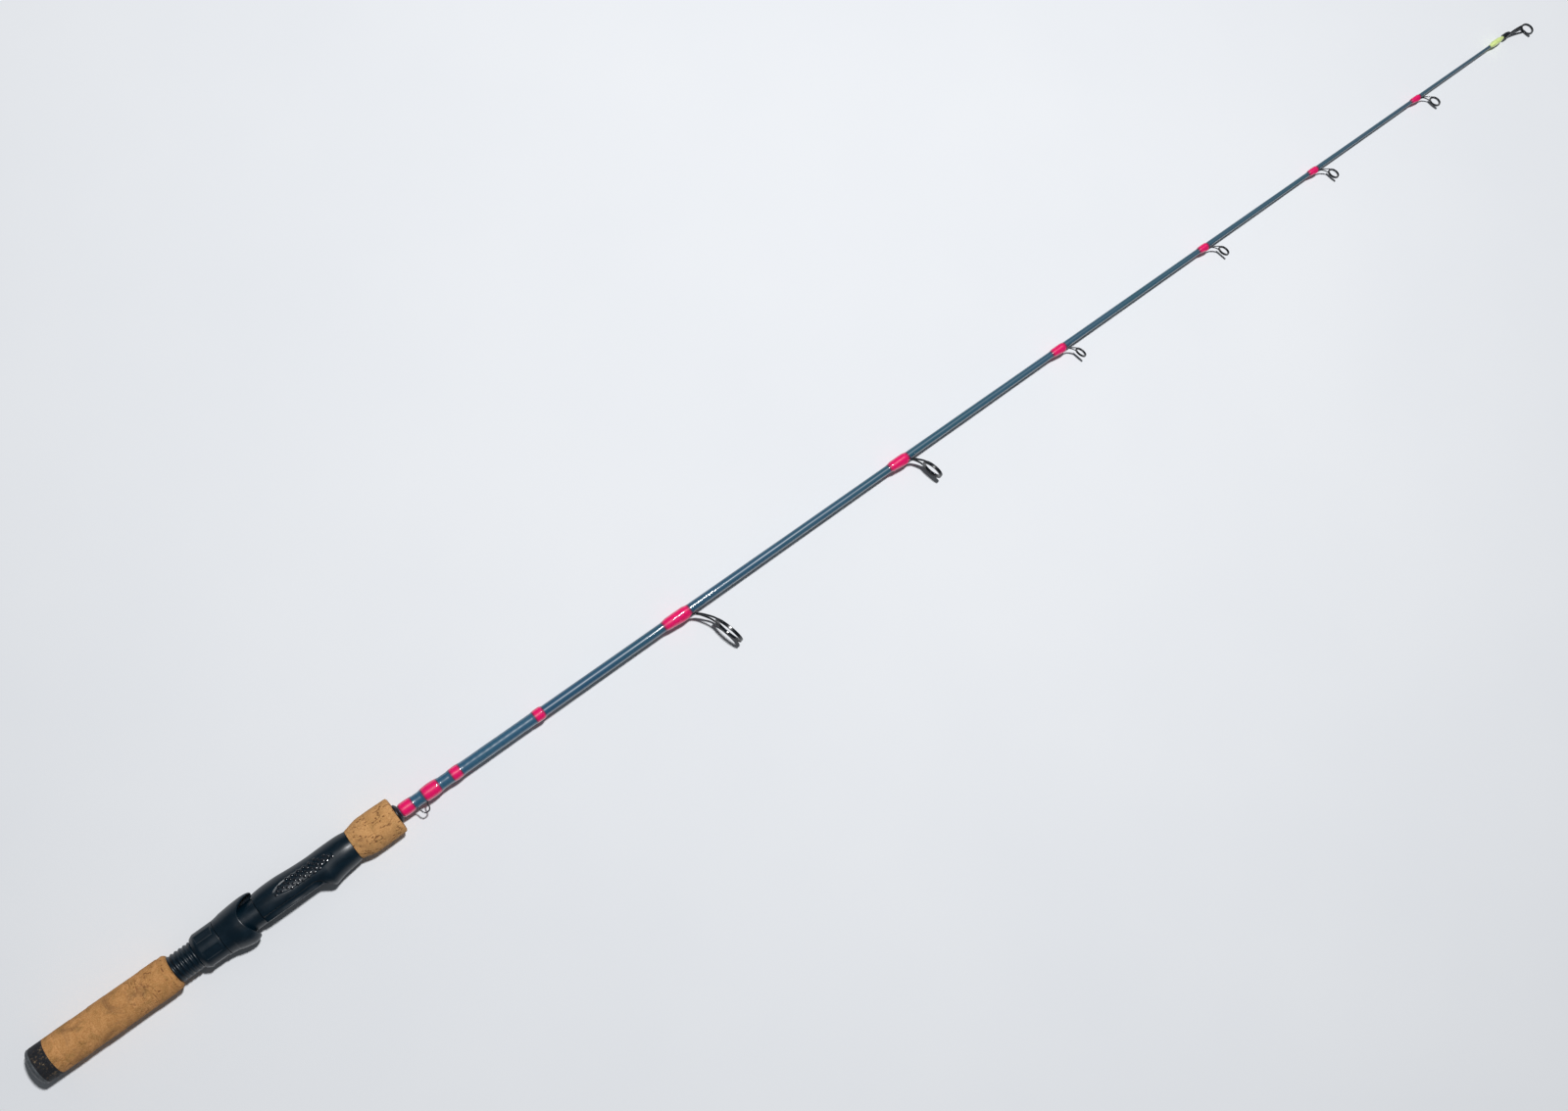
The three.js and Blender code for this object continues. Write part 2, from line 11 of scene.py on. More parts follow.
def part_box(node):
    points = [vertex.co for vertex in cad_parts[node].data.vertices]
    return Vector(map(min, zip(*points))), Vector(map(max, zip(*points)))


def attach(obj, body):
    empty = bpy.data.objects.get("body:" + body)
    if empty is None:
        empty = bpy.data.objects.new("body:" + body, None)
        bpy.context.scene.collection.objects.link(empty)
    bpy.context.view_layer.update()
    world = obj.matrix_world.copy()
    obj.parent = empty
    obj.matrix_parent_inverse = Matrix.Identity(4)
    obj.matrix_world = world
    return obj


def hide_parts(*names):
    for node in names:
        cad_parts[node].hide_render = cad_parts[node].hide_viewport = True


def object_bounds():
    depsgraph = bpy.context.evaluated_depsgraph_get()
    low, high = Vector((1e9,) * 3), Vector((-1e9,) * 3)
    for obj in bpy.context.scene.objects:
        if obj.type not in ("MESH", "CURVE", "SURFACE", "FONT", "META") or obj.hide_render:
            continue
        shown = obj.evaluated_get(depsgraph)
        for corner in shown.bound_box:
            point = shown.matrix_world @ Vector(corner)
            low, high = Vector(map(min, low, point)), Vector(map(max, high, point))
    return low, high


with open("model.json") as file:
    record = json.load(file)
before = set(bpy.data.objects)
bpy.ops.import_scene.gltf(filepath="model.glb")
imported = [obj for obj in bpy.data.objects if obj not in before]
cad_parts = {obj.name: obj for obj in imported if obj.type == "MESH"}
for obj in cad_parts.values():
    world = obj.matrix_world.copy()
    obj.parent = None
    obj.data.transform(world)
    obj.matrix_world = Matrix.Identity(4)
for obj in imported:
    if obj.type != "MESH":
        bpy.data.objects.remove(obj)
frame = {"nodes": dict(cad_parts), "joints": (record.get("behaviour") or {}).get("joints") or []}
cad_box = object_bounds()
noise.seed_set(7)  # without a seed, noise vectors differ from run to run

# ---- the rod's own frame ---------------------------------------------------------------------
# Shapes are made in millimetres in the rod's own frame: x runs along its axis from the butt, the
# guides and the reel foot are on the -y side, and +z faces up. Angles about the axis start at +y
# (the back of the rod), pass +z and reach pi at the foot side.

MM = 0.001


def rod_matrix():
    turning = next(joint for joint in frame["joints"] if joint["name"] == "nut_turn")
    along = Vector(turning["axis"]).normalized()
    across = Vector((0, 1, 0))
    on_axis = Vector(turning["pos_m"])
    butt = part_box("butt_cap")[0].x
    matrix = Matrix((along, across, along.cross(across))).transposed().to_4x4()
    matrix.translation = on_axis + along * ((butt - on_axis.x) / along.x)
    return matrix


ROD = rod_matrix()


def local(node):
    """A CAD node's points in the rod's own frame, in mm."""
    world = np.array([vertex.co for vertex in frame["nodes"][node].data.vertices])
    to_rod = np.array(ROD.inverted())
    return (world @ to_rod[:3, :3].T + to_rod[:3, 3]) / MM


def span(node):
    """A CAD node's first and last station along the rod."""
    x = local(node)[:, 0]
    return x.min(), x.max()


def reach(node, station=None):
    """A CAD node's greatest radius, or that of its points within 1 mm of a station."""
    points = local(node)
    if station is not None:
        points = points[abs(points[:, 0] - station) < 1]
    return np.hypot(points[:, 1], points[:, 2]).max()


BLANK_START, BLANK_END = span("blank")
BLANK_BUTT = reach("blank", BLANK_START)
BLANK_TIP = reach("blank", BLANK_END)


def blank_radius(x):
    return BLANK_BUTT + (BLANK_TIP - BLANK_BUTT) * (x - BLANK_START) / (BLANK_END - BLANK_START)


# ---- shapes ----------------------------------------------------------------------------------

def smooth(x, start, end):
    """0 before start, 1 after end, and an eased step between them."""
    t = np.clip((np.asarray(x, float) - start) / (end - start), 0, 1)
    return t * t * (3 - 2 * t)


def rounding(start, corner, end, t):
    """A point part way along the curve that rounds a corner off."""
    return (1 - t) ** 2 * start + 2 * t * (1 - t) * corner + t * t * end


def rounded(corners, steps=4):
    """A closed outline of (x, radius) from corners; a third value rounds a corner to that size."""
    points = []
    for i, corner in enumerate(corners):
        here = np.array(corner[:2], float)
        if len(corner) < 3:
            points.append(here)
            continue
        before = np.array(corners[i - 1][:2], float) - here
        after = np.array(corners[(i + 1) % len(corners)][:2], float) - here
        start = here + before * min(corner[2] / np.linalg.norm(before), 0.49)
        end = here + after * min(corner[2] / np.linalg.norm(after), 0.49)
        points.extend(rounding(start, here, end, t) for t in np.linspace(0, 1, steps + 1))
    return np.array(points)


def finer(outline, step):
    """The closed outline with its long runs split into steps."""
    points = []
    for here, there in zip(outline, np.roll(outline, -1, axis=0)):
        count = max(1, math.ceil(np.linalg.norm(there - here) / step))
        points.extend(here + (there - here) * i / count for i in range(count))
    return np.array(points)


def skin(grid, closed=True):
    """Points and faces of a grid of rows; columns close round, and so do the rows if closed."""
    rows, columns = grid.shape[:2]
    index = np.arange(rows * columns).reshape(rows, columns)
    if closed:
        index = np.vstack([index, index[:1]])
    here, there = index[:-1], index[1:]
    faces = np.stack([here, there, np.roll(there, -1, 1), np.roll(here, -1, 1)], -1)
    return grid.reshape(-1, 3), faces.reshape(-1, 4)


def turned(outline, segments=96, warp=None):
    """A body of revolution; warp(x, radius, angle) moves its points along and outwards."""
    angle = np.linspace(0, 2 * math.pi, segments, endpoint=False)
    x, angle = np.meshgrid(outline[:, 0], angle, indexing="ij")
    radius = np.repeat(outline[:, 1:2], segments, 1)
    if warp:
        x, radius = warp(x, radius, angle)
    return skin(np.stack([x, radius * np.cos(angle), radius * np.sin(angle)], -1))


def curve(points, steps):
    """A smooth centripetal curve through the points."""
    points = np.array(points, float)
    ends = np.vstack([2 * points[0] - points[1], points, 2 * points[-1] - points[-2]])
    knots = np.concatenate([[0], np.cumsum(np.linalg.norm(np.diff(ends, axis=0), axis=1) ** 0.5)])
    found = []
    for t in np.linspace(knots[1], knots[-2], steps + 1):
        first = min(max(np.searchsorted(knots, t, "right") - 2, 0), len(ends) - 4)
        level, knot = list(ends[first:first + 4]), knots[first:first + 4]
        # the span each blend covers, narrowing to the two middle knots
        for pairs in (((0, 1), (1, 2), (2, 3)), ((0, 2), (1, 3)), ((1, 2),)):
            shares = [(t - knot[low]) / (knot[high] - knot[low]) for low, high in pairs]
            level = [level[k] + (level[k + 1] - level[k]) * share for k, share in enumerate(shares)]
        found.append(level[0])
    return np.array(found)


def sweep(path, half_width, half_depth=None, sides=14):
    """An oval bar along the path; its widths may change along it, and its ends are rounded off."""
    last = len(path) - 1
    width = np.broadcast_to(half_width, len(path)).astype(float)
    depth = width if half_depth is None else np.broadcast_to(half_depth, len(path)).astype(float)
    up = np.array([0.0, 0.0, 1.0])
    tangent = np.gradient(path, axis=0)
    tangent /= np.linalg.norm(tangent, axis=1)[:, None]
    side = up - tangent * (tangent @ up)[:, None]
    side /= np.linalg.norm(side, axis=1)[:, None]
    other = np.cross(tangent, side)
    angle = np.linspace(0, 2 * math.pi, sides, endpoint=False)

    def row(i, lean=0.0, way=0):
        """A section at point i; leaning from 0 to 90 degrees, it closes over the bar's end."""
        lean = math.radians(lean)
        centre = path[i] + way * tangent[i] * depth[i] * math.sin(lean)
        share = max(math.cos(lean), 1e-4)
        return centre + share * (np.outer(np.cos(angle), side[i]) * width[i]
                                 + np.outer(np.sin(angle), other[i]) * depth[i])

    grid = [row(0, lean, -1) for lean in (90, 60, 30)]
    grid += [row(i) for i in range(len(path))]
    grid += [row(last, lean, 1) for lean in (30, 60, 90)]
    return skin(np.array(grid), closed=False)


def placed_in_scene(name, data, place):
    made = bpy.data.objects.new(name, data)
    bpy.context.scene.collection.objects.link(made)
    made.matrix_world = place
    return made


def welded(name, skins):
    """One object in the rod's frame from its skins, with the points that meet made one."""
    points = np.vstack([points for points, _ in skins]) * MM
    starts = np.cumsum([0] + [len(points) for points, _ in skins[:-1]])
    faces = np.vstack([faces + start for (_, faces), start in zip(skins, starts)])
    mesh = bpy.data.meshes.new(name)
    mesh.from_pydata(points, [], faces.tolist())
    shape = bmesh.new()
    shape.from_mesh(mesh)
    bmesh.ops.remove_doubles(shape, verts=shape.verts, dist=2e-6)
    bmesh.ops.recalc_face_normals(shape, faces=shape.faces)
    shape.to_mesh(mesh)
    shape.free()
    return placed_in_scene(name, mesh, ROD)


def piece(name, skins, material, body="rod", stands_for=(), sharp=35):
    """A finished object: smooth but for its sharp edges, with its material, riding on its body."""
    made = welded(name, skins)
    made.data.shade_smooth()
    made.data.set_sharp_from_angle(angle=math.radians(sharp))
    made.data.materials.append(material)
    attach(made, body)
    if stands_for:
        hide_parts(*stands_for)
    return made


# ---- materials -------------------------------------------------------------------------------

class Finish:
    """A material on one Principled shader, with its patterns measured in mm in the rod's frame."""

    def __init__(self, name, **settings):
        self.material = bpy.data.materials.new(name)
        self.material.use_nodes = True
        self.tree = self.material.node_tree
        self.shader = self.tree.nodes["Principled BSDF"]
        for socket, value in settings.items():
            self.shader.inputs[socket.replace("_", " ")].default_value = value
        place = self.tree.nodes.new("ShaderNodeTexCoord").outputs["Object"]
        self.place = self.vector("SCALE", place, Scale=1 / MM)
        self.x, y, z = self.add("SeparateXYZ", Vector=self.place).outputs
        self.angle = self.math("ARCTAN2", z, y)

    def add(self, kind, settings=None, **inputs):
        node = self.tree.nodes.new("ShaderNode" + kind)
        for name, value in (settings or {}).items():
            setattr(node, name, value)
        for name, value in inputs.items():
            self.feed(node.inputs[name.replace("_", " ")], value)
        return node

    def feed(self, socket, value):
        if isinstance(value, bpy.types.NodeSocket):
            self.tree.links.new(value, socket)
        else:
            socket.default_value = value

    def math(self, operation, *values):
        node = self.tree.nodes.new("ShaderNodeMath")
        node.operation = operation
        for socket, value in zip(node.inputs, values):
            self.feed(socket, value)
        return node.outputs[0]

    def vector(self, operation, *values, **inputs):
        node = self.add("VectorMath", {"operation": operation}, **inputs)
        for socket, value in zip(node.inputs, values):
            self.feed(socket, value)
        return node.outputs[0]

    def stretched(self, along, across):
        """The place, scaled by one number along the rod and by another across it."""
        return self.vector("MULTIPLY", self.place, (along, across, across))

    def cloud(self, place, detail, roughness, distortion=0.0, scale=1.0):
        node = self.add("TexNoise", Vector=place, Scale=scale, Detail=detail,
                        Roughness=roughness, Distortion=distortion)
        return node.outputs["Fac"]

    def cells(self, place, scale, feature="F1"):
        return self.add("TexVoronoi", {"feature": feature}, Vector=place, Scale=scale)

    def ramp(self, value, *stops):
        """A colour or a number for each stop, eased between them."""
        node = self.add("ValToRGB", Fac=value)
        elements = node.color_ramp.elements
        while len(elements) < len(stops):
            elements.new(1.0)
        for element, (position, tone) in zip(elements, stops):
            element.position = position
            element.color = (*tone, 1) if isinstance(tone, tuple) else (tone, tone, tone, 1)
        return node.outputs["Color"]

    def mixed(self, share, first, second):
        node = self.tree.nodes.new("ShaderNodeMix")
        node.data_type = "RGBA"
        for place, value in ((0, share), (6, first), (7, second)):
            if isinstance(value, tuple):
                value = (*value, 1)
            self.feed(node.inputs[place], value)
        return node.outputs[2]

    def tinted(self, base, colour, value, *stops):
        """The base, with the colour over it as strongly as the ramp of the value says."""
        return self.mixed(self.ramp(value, *stops), base, colour)

    def bumps(self, *layers):
        """Bump from (height, distance in mm) layers, on the base and not on the coat."""
        normal = None
        for height, depth in layers:
            bump = self.add("Bump", Height=height, Distance=depth * MM, Strength=1.0)
            if normal:
                self.tree.links.new(normal, bump.inputs["Normal"])
            normal = bump.outputs["Normal"]
        self.feed(self.shader.inputs["Normal"], normal)

    def finish(self, colour, roughness):
        self.feed(self.shader.inputs["Base Color"], colour)
        self.feed(self.shader.inputs["Roughness"], roughness)
        return self.material


CORK_RING = 12.7


def cork_finish(name, first_joint, pale):
    """Pressed cork: a tone for each ring, fine grain, olive and orange patches, dark torn places.
    The torn attribute is 1 where cracks and pits are pressed into the mesh."""
    cork = Finish(name, Specular_IOR_Level=0.2)
    ring = cork.math("FLOOR", cork.math("DIVIDE", cork.math("SUBTRACT", cork.x, first_joint), CORK_RING))
    tone = cork.add("TexWhiteNoise", {"noise_dimensions": "1D"}, W=ring).outputs["Value"]
    grain = cork.cloud(cork.stretched(1.3, 1.3), 5, 0.72)
    fibre = cork.cloud(cork.stretched(1.5, 0.35), 3, 0.6)
    patches = cork.cloud(cork.stretched(0.16, 0.12), 4, 0.6, 0.7)
    base = cork.ramp(patches, (0.30, (0.29, 0.145, 0.040)), (0.5, (0.49, 0.225, 0.075)),
                     (0.70, (0.62, 0.30, 0.110)))
    base = cork.mixed(pale, base, (0.74, 0.46, 0.20))
    base = cork.tinted(base, (0.80, 0.50, 0.22), grain, (0.45, 0.0), (0.75, 0.55))
    base = cork.tinted(base, (0.26, 0.10, 0.030), grain, (0.30, 0.6), (0.50, 0.0))
    base = cork.tinted(base, (0.30, 0.125, 0.040), fibre, (0.30, 0.4), (0.45, 0.0))
    base = cork.tinted(base, (0.42, 0.205, 0.065), tone, (0.0, 0.0), (1.0, 0.35))
    grime = cork.cloud(cork.stretched(0.055, 0.08), 5, 0.68, 0.9)
    base = cork.tinted(base, (0.15, 0.075, 0.035), grime, (0.52, 0.0), (0.74, 0.65))
    torn = cork.add("Attribute", {"attribute_name": "torn"}).outputs["Fac"]
    base = cork.tinted(base, (0.13, 0.048, 0.018), torn, (0.1, 0.0), (0.9, 0.78))
    cork.bumps((grain, 0.10), (fibre, 0.06))
    return cork.finish(base, cork.ramp(grain, (0.2, 0.95), (0.8, 0.74)))


def composite_finish():
    """Rubberised cork: black binder with brown, tan and grey crumbs."""
    crumb = Finish("rubber_cork", Specular_IOR_Level=0.35)
    place = crumb.vector("ADD", crumb.place,
                         crumb.add("TexNoise", Vector=crumb.place, Scale=0.8).outputs["Color"])
    cell = crumb.cells(place, 0.85)
    pick = crumb.add("SeparateColor", Color=cell.outputs["Color"]).outputs[0]
    colour = crumb.ramp(pick, (0.0, (0.006, 0.008, 0.011)), (0.66, (0.013, 0.015, 0.020)),
                        (0.82, (0.032, 0.026, 0.022)), (0.93, (0.085, 0.055, 0.030)),
                        (1.0, (0.20, 0.145, 0.085)))
    grain = crumb.cloud(crumb.place, 3, 0.6, scale=2.4)
    clumps = crumb.cloud(crumb.place, 3, 0.6, scale=0.28)
    colour = crumb.tinted(colour, (0.008, 0.010, 0.014), clumps, (0.42, 0.85), (0.6, 0.0))
    colour = crumb.tinted(colour, (0.022, 0.030, 0.042), grain, (0.5, 0.0), (0.8, 0.4))
    edge = crumb.cells(place, 0.85, "DISTANCE_TO_EDGE").outputs["Distance"]
    seam = crumb.ramp(edge, (0.0, 0.0), (0.12, 1.0))
    colour = crumb.mixed(seam, (0.008, 0.008, 0.009), colour)
    crumb.bumps((seam, 0.12), (grain, 0.1))
    return crumb.finish(colour, crumb.ramp(grain, (0.3, 0.8), (0.7, 0.5)))


def rubber_finish():
    """Soft moulded rubber with paler scuffed patches."""
    rubber = Finish("butt_rubber", Specular_IOR_Level=0.4)
    scuff = rubber.cloud(rubber.stretched(0.5, 0.35), 5, 0.7, 0.5)
    grain = rubber.cloud(rubber.place, 2, 0.5, scale=5.0)
    colour = rubber.ramp(scuff, (0.3, (0.038, 0.044, 0.050)), (0.55, (0.075, 0.084, 0.092)),
                         (0.8, (0.14, 0.15, 0.16)))
    rubber.bumps((grain, 0.03), (scuff, 0.08))
    return rubber.finish(colour, rubber.ramp(scuff, (0.3, 0.42), (0.8, 0.62)))


def seat_finish(name, colour, roughness, coat=0.0):
    """Moulded plastic with a fine satin texture and faint flow marks. Paler patches are painted on as a soft
    sheen, and the same patches are rougher, as rubbed places are.
    """
    seat = Finish(name, Specular_IOR_Level=0.4, Coat_Weight=coat, Coat_Roughness=0.12)
    texture = seat.cloud(seat.place, 2, 0.5, scale=7.0)
    flow = seat.cloud(seat.stretched(0.05, 0.3), 3, 0.6, 0.8)
    rubbed_and_sheen = seat.cloud(seat.stretched(0.12, 0.16), 4, 0.65)
    dark = tuple(channel * 0.75 for channel in colour)
    # pale is the colour of the painted sheen
    pale = tuple(channel * 1.3 + 0.002 for channel in colour)
    tone = seat.mixed(seat.ramp(flow, (0.35, 0.0), (0.65, 1.0)), dark, colour)
    # painted sheen: random patches turned paler, standing in for soft highlights
    tone = seat.tinted(tone, pale, rubbed_and_sheen, (0.5, 0.0), (0.78, 0.7))
    seat.bumps((texture, 0.012), (flow, 0.05))
    low, high = roughness
    return seat.finish(tone, seat.ramp(rubbed_and_sheen, (0.35, low), (0.7, high)))


def blank_finish(name, milkiness=0.0):
    """Varnished glass fibre: blue body colour, a faint spiral of wrapping tape, glossy coat. Under
    a clear epoxy coat it looks milkier."""
    blank = Finish(name, Specular_IOR_Level=0.5, Coat_Weight=1.0, Coat_Roughness=0.045, Coat_IOR=1.5)
    turn = blank.math("DIVIDE", blank.angle, 2 * math.pi)
    spiral = blank.math("FRACT", blank.math("SUBTRACT", blank.math("DIVIDE", blank.x, 3.2), turn))
    ridge = blank.ramp(spiral, (0.0, 1.0), (0.12, 0.0), (0.88, 0.0), (1.0, 1.0))
    strands = blank.cloud(blank.stretched(0.02, 1.6), 3, 0.6)
    length = blank.cloud(blank.stretched(0.012, 0.05), 3, 0.6)
    fade = blank.math("DIVIDE", blank.x, BLANK_END)
    colour = blank.ramp(fade, (0.2, (0.009, 0.070, 0.150)), (0.6, (0.028, 0.092, 0.148)),
                        (1.0, (0.060, 0.100, 0.138)))
    colour = blank.tinted(colour, (0.014, 0.088, 0.115), length, (0.4, 0.0), (0.7, 0.5))
    colour = blank.tinted(colour, (0.070, 0.150, 0.205), strands, (0.45, 0.0), (0.75, 0.22))
    colour = blank.mixed(blank.math("MULTIPLY", ridge, 0.12), colour, (0.08, 0.16, 0.21))
    if milkiness:
        haze = blank.cloud(blank.stretched(0.3, 0.3), 3, 0.6)
        colour = blank.tinted(colour, (0.07, 0.20, 0.30), haze, (0.3, milkiness * 0.4), (0.7, milkiness))
    blank.bumps((strands, 0.01),)
    return blank.finish(colour, blank.ramp(strands, (0.3, 0.30), (0.7, 0.42)))


def thread_finish(name, core, darker_ends):
    """Wound thread under clear epoxy, turning darker towards a wrap's ends, where the end attribute is 1."""
    thread = Finish(name, Specular_IOR_Level=0.4, Coat_Weight=1.0, Coat_Roughness=0.02, Coat_IOR=1.5)
    end = thread.add("Attribute", {"attribute_name": "end"}).outputs["Fac"]
    turns = thread.math("SINE", thread.math("MULTIPLY", thread.x, 2 * math.pi / 0.17))
    mottle = thread.cloud(thread.stretched(0.9, 0.5), 4, 0.65, 0.5)
    strand = thread.cloud(thread.stretched(5.5, 0.25), 2, 0.5)
    deep = tuple(channel * 0.78 for channel in core)
    colour = thread.mixed(thread.ramp(mottle, (0.30, 0.0), (0.55, 1.0)), deep, core)
    colour = thread.tinted(colour, deep, strand, (0.35, 0.2), (0.6, 0.0))
    ragged = thread.math("ADD", end, thread.math("MULTIPLY", thread.math("SUBTRACT", mottle, 0.5), 0.6))
    colour = thread.tinted(colour, darker_ends, ragged, (0.30, 0.0), (0.95, 0.92))
    thread.bumps((turns, 0.006), (strand, 0.015))
    return thread.finish(colour, thread.ramp(mottle, (0.3, 0.45), (0.7, 0.32)))


def metal_finish(name, colour, roughness, metallic):
    """Black plated wire or polished ceramic, with faint tool marks."""
    metal = Finish(name, Metallic=metallic, Specular_IOR_Level=0.6, Coat_Weight=0.4, Coat_Roughness=0.08)
    marks = metal.cloud(metal.stretched(3, 3), 3, 0.6)
    worn = metal.cloud(metal.stretched(0.4, 0.4), 4, 0.7)
    pale = tuple(channel * 2.2 + 0.01 for channel in colour)
    tone = metal.mixed(metal.ramp(worn, (0.55, 0.0), (0.75, 0.6)), colour, pale)
    metal.bumps((marks, 0.006))
    low, high = roughness
    return metal.finish(tone, metal.ramp(marks, (0.3, low), (0.7, high)))


def foam_finish():
    """Rigid foam of small closed cells, inside the seat."""
    foam = Finish("arbor_foam", Specular_IOR_Level=0.2)
    cell = foam.cells(foam.place, 1.6).outputs["Distance"]
    colour = foam.ramp(cell, (0.0, (0.42, 0.36, 0.22)), (0.6, (0.66, 0.60, 0.42)))
    foam.bumps((cell, 0.15))
    return foam.finish(colour, foam.ramp(cell, (0.1, 0.95), (0.6, 0.8)))


REAR_CORK = cork_finish("cork_rear", first_joint=22.0, pale=0.04)
FORE_CORK = cork_finish("cork_fore", first_joint=257.4, pale=0.26)
COMPOSITE = composite_finish()
RUBBER = rubber_finish()
SEAT_PLASTIC = seat_finish("seat_plastic", (0.0006, 0.0090, 0.0175), (0.31, 0.40))
STUD_PLASTIC = seat_finish("stud_plastic", (0.004, 0.007, 0.012), (0.12, 0.18), coat=1.0)
CHECK_PLASTIC = seat_finish("check_plastic", (0.003, 0.005, 0.008), (0.4, 0.5))
BLANK_GLASS = blank_finish("blank_glass")
CLEAR_COAT = blank_finish("clear_coat", milkiness=0.22)
# each thread's second colour is how dark it turns towards a wrap's ends
PINK_THREAD = thread_finish("pink_thread", (0.86, 0.0, 0.135), (0.055, 0.030, 0.055))
LIME_THREAD = thread_finish("lime_thread", (0.74, 0.88, 0.32), (0.34, 0.40, 0.24))
BLACK_METAL = metal_finish("black_metal", (0.005, 0.007, 0.011), (0.22, 0.34), metallic=0.2)
RING_CERAMIC = metal_finish("ring_ceramic", (0.006, 0.008, 0.012), (0.08, 0.14), metallic=0.0)
FOAM = foam_finish()


# ---- grips -----------------------------------------------------------------------------------

# Curved cracks run round the rear grip, and short slits along the fore grip.
CRACKS = {"along": 0.34, "across": 0.10, "wander": 0.15, "bend": 0.12, "width": 0.085, "drift": 1.7,
          "cover": 0.13, "fade": 0.10}
SLITS = {"along": 0.10, "across": 0.30, "wander": 0.2, "bend": 0.08, "width": 0.06, "drift": 1.3,
         "cover": -0.12, "fade": 0.12}


def torn_lines(place, shift, kind):
    """1 on the level lines of one noise, which another breaks into lengths, and 0 away from them."""
    drawn = Vector((place.x * kind["along"], place.y * kind["across"], place.z * kind["across"])) + shift
    level = noise.noise(drawn + noise.noise_vector(place * kind["wander"]) * kind["bend"])
    line = max(0.0, 1 - abs(level) / kind["width"])
    whole = noise.noise(place * kind["wander"] + shift * kind["drift"]) + kind["cover"]
    return line * min(max(whole / kind["fade"], 0.0), 1.0)


def pits(place, shift, rarity):
    """Small round holes."""
    hollow = noise.noise(Vector((place.x * 0.45, place.y * 0.62, place.z * 0.62)) + shift)
    return min(max((hollow - rarity) / 0.12, 0.0), 1.0)


def weathered(skins, torn_at, seed):
    """Presses fine roughness and torn places into the outside of a ring, and returns both."""
    points, faces = skins
    radius = np.hypot(points[:, 1], points[:, 2])
    limit = radius.max() - 3.2
    shift = Vector((seed * 17.3, seed * 5.1, seed * 9.7))
    torn = np.zeros(len(points))
    for i in np.flatnonzero(radius > limit):
        place = Vector(points[i])
        torn[i] = torn_at(place, shift)
        press = 0.06 * abs(noise.noise(place * 1.1 + shift)) + 0.42 * torn[i]
        points[i, 1:] *= 1 - press / radius[i]
    return (points, faces), torn


def mark(made, name, value_at):
    """Stores value_at(place in mm) on each of a piece's vertices, for its material to read."""
    stored = made.data.attributes.new(name, "FLOAT", "POINT")
    for i, vertex in enumerate(made.data.vertices):
        stored.data[i].value = value_at(np.array(vertex.co) / MM)


def mark_torn(made, points, torn):
    """Stores how torn each point is, matched by its place because the weld renumbers them."""
    places = {tuple(np.round(point, 2)): value for point, value in zip(points, torn)}
    mark(made, "torn", lambda place: places.get(tuple(np.round(place, 2)), 0.0))


JOINT = 0.14  # neighbouring rings run this far into each other
RING_EASE = 0.12


def grip_outline(start, end, radius_at, front_ease=0.0):
    """A ring's outline in close steps, with its outer corners eased and the front one rounded."""
    x = np.linspace(start, end, max(8, int((end - start) / 0.4)))
    radius = radius_at(x)
    if front_ease:
        front = np.clip((x - (end - front_ease)) / front_ease, 0, 1)
        radius = radius - front_ease * (1 - np.sqrt(1 - front ** 2 * 0.985))
    else:
        radius[-1] -= RING_EASE
    radius = radius - RING_EASE * np.clip((start + RING_EASE - x) / RING_EASE, 0, 1)
    bore = blank_radius(start) + 0.3
    ends = [[end, (radius[-1] + bore) / 2], [end, bore], [start, bore], [start, (radius[0] + bore) / 2]]
    return np.vstack([np.stack([x, radius], 1), ends])


def cork_ring(name, node, outline, segments, torn_at, seed, finish):
    ring, torn = weathered(turned(outline, segments), torn_at, seed)
    made = piece(name, [ring], finish, stands_for=[node], sharp=60)
    mark_torn(made, ring[0], torn)


def rear_torn(place, shift):
    """The rear grip is torn most towards its front."""
    front = float(smooth(place.x, 66, 80))
    return max(torn_lines(place, shift, CRACKS) * front, pits(place, shift, 0.52) * (0.4 + 0.6 * front))


def rear_grip():
    nodes = sorted((n for n in frame["nodes"] if n.startswith("rear_cork_")), key=lambda n: span(n)[0])
    for i, node in enumerate(nodes):
        start, end = span(node)
        last = node == nodes[-1]
        radius = reach(nodes[0]) - 0.14 + 0.12 * math.sin(i * 2.4)
        outline = grip_outline(start - JOINT, end + (0 if last else JOINT),
                               lambda x: np.full_like(x, radius), 3.0 if last else 0.0)
        cork_ring(f"rear_grip_{i + 1}", node, outline, 216, rear_torn, 3, REAR_CORK)


def fore_grip_radius(x):
    first, last = span("fore_cork_1")[0], span("fore_cork_3")[1]
    rear, full = reach("fore_cork_1", first), reach("fore_cork_3")
    swell = smooth(x, first - 4.2, first + 12.5)
    slack = 0.25 * smooth(x, last - 14, last)
    return rear - 0.5 + (full - rear + 0.4) * swell - slack


def fore_torn(place, shift):
    return max(torn_lines(place, shift, SLITS), pits(place, shift, 0.42))


def fore_grip():
    for i in (1, 2, 3):
        start, end = span(f"fore_cork_{i}")
        outline = grip_outline(start - (JOINT if i > 1 else 0), end + (JOINT if i < 3 else 0),
                               fore_grip_radius, 1.3 if i == 3 else 0)
        cork_ring(f"fore_grip_{i}", f"fore_cork_{i}", outline, 230, fore_torn, 8, FORE_CORK)


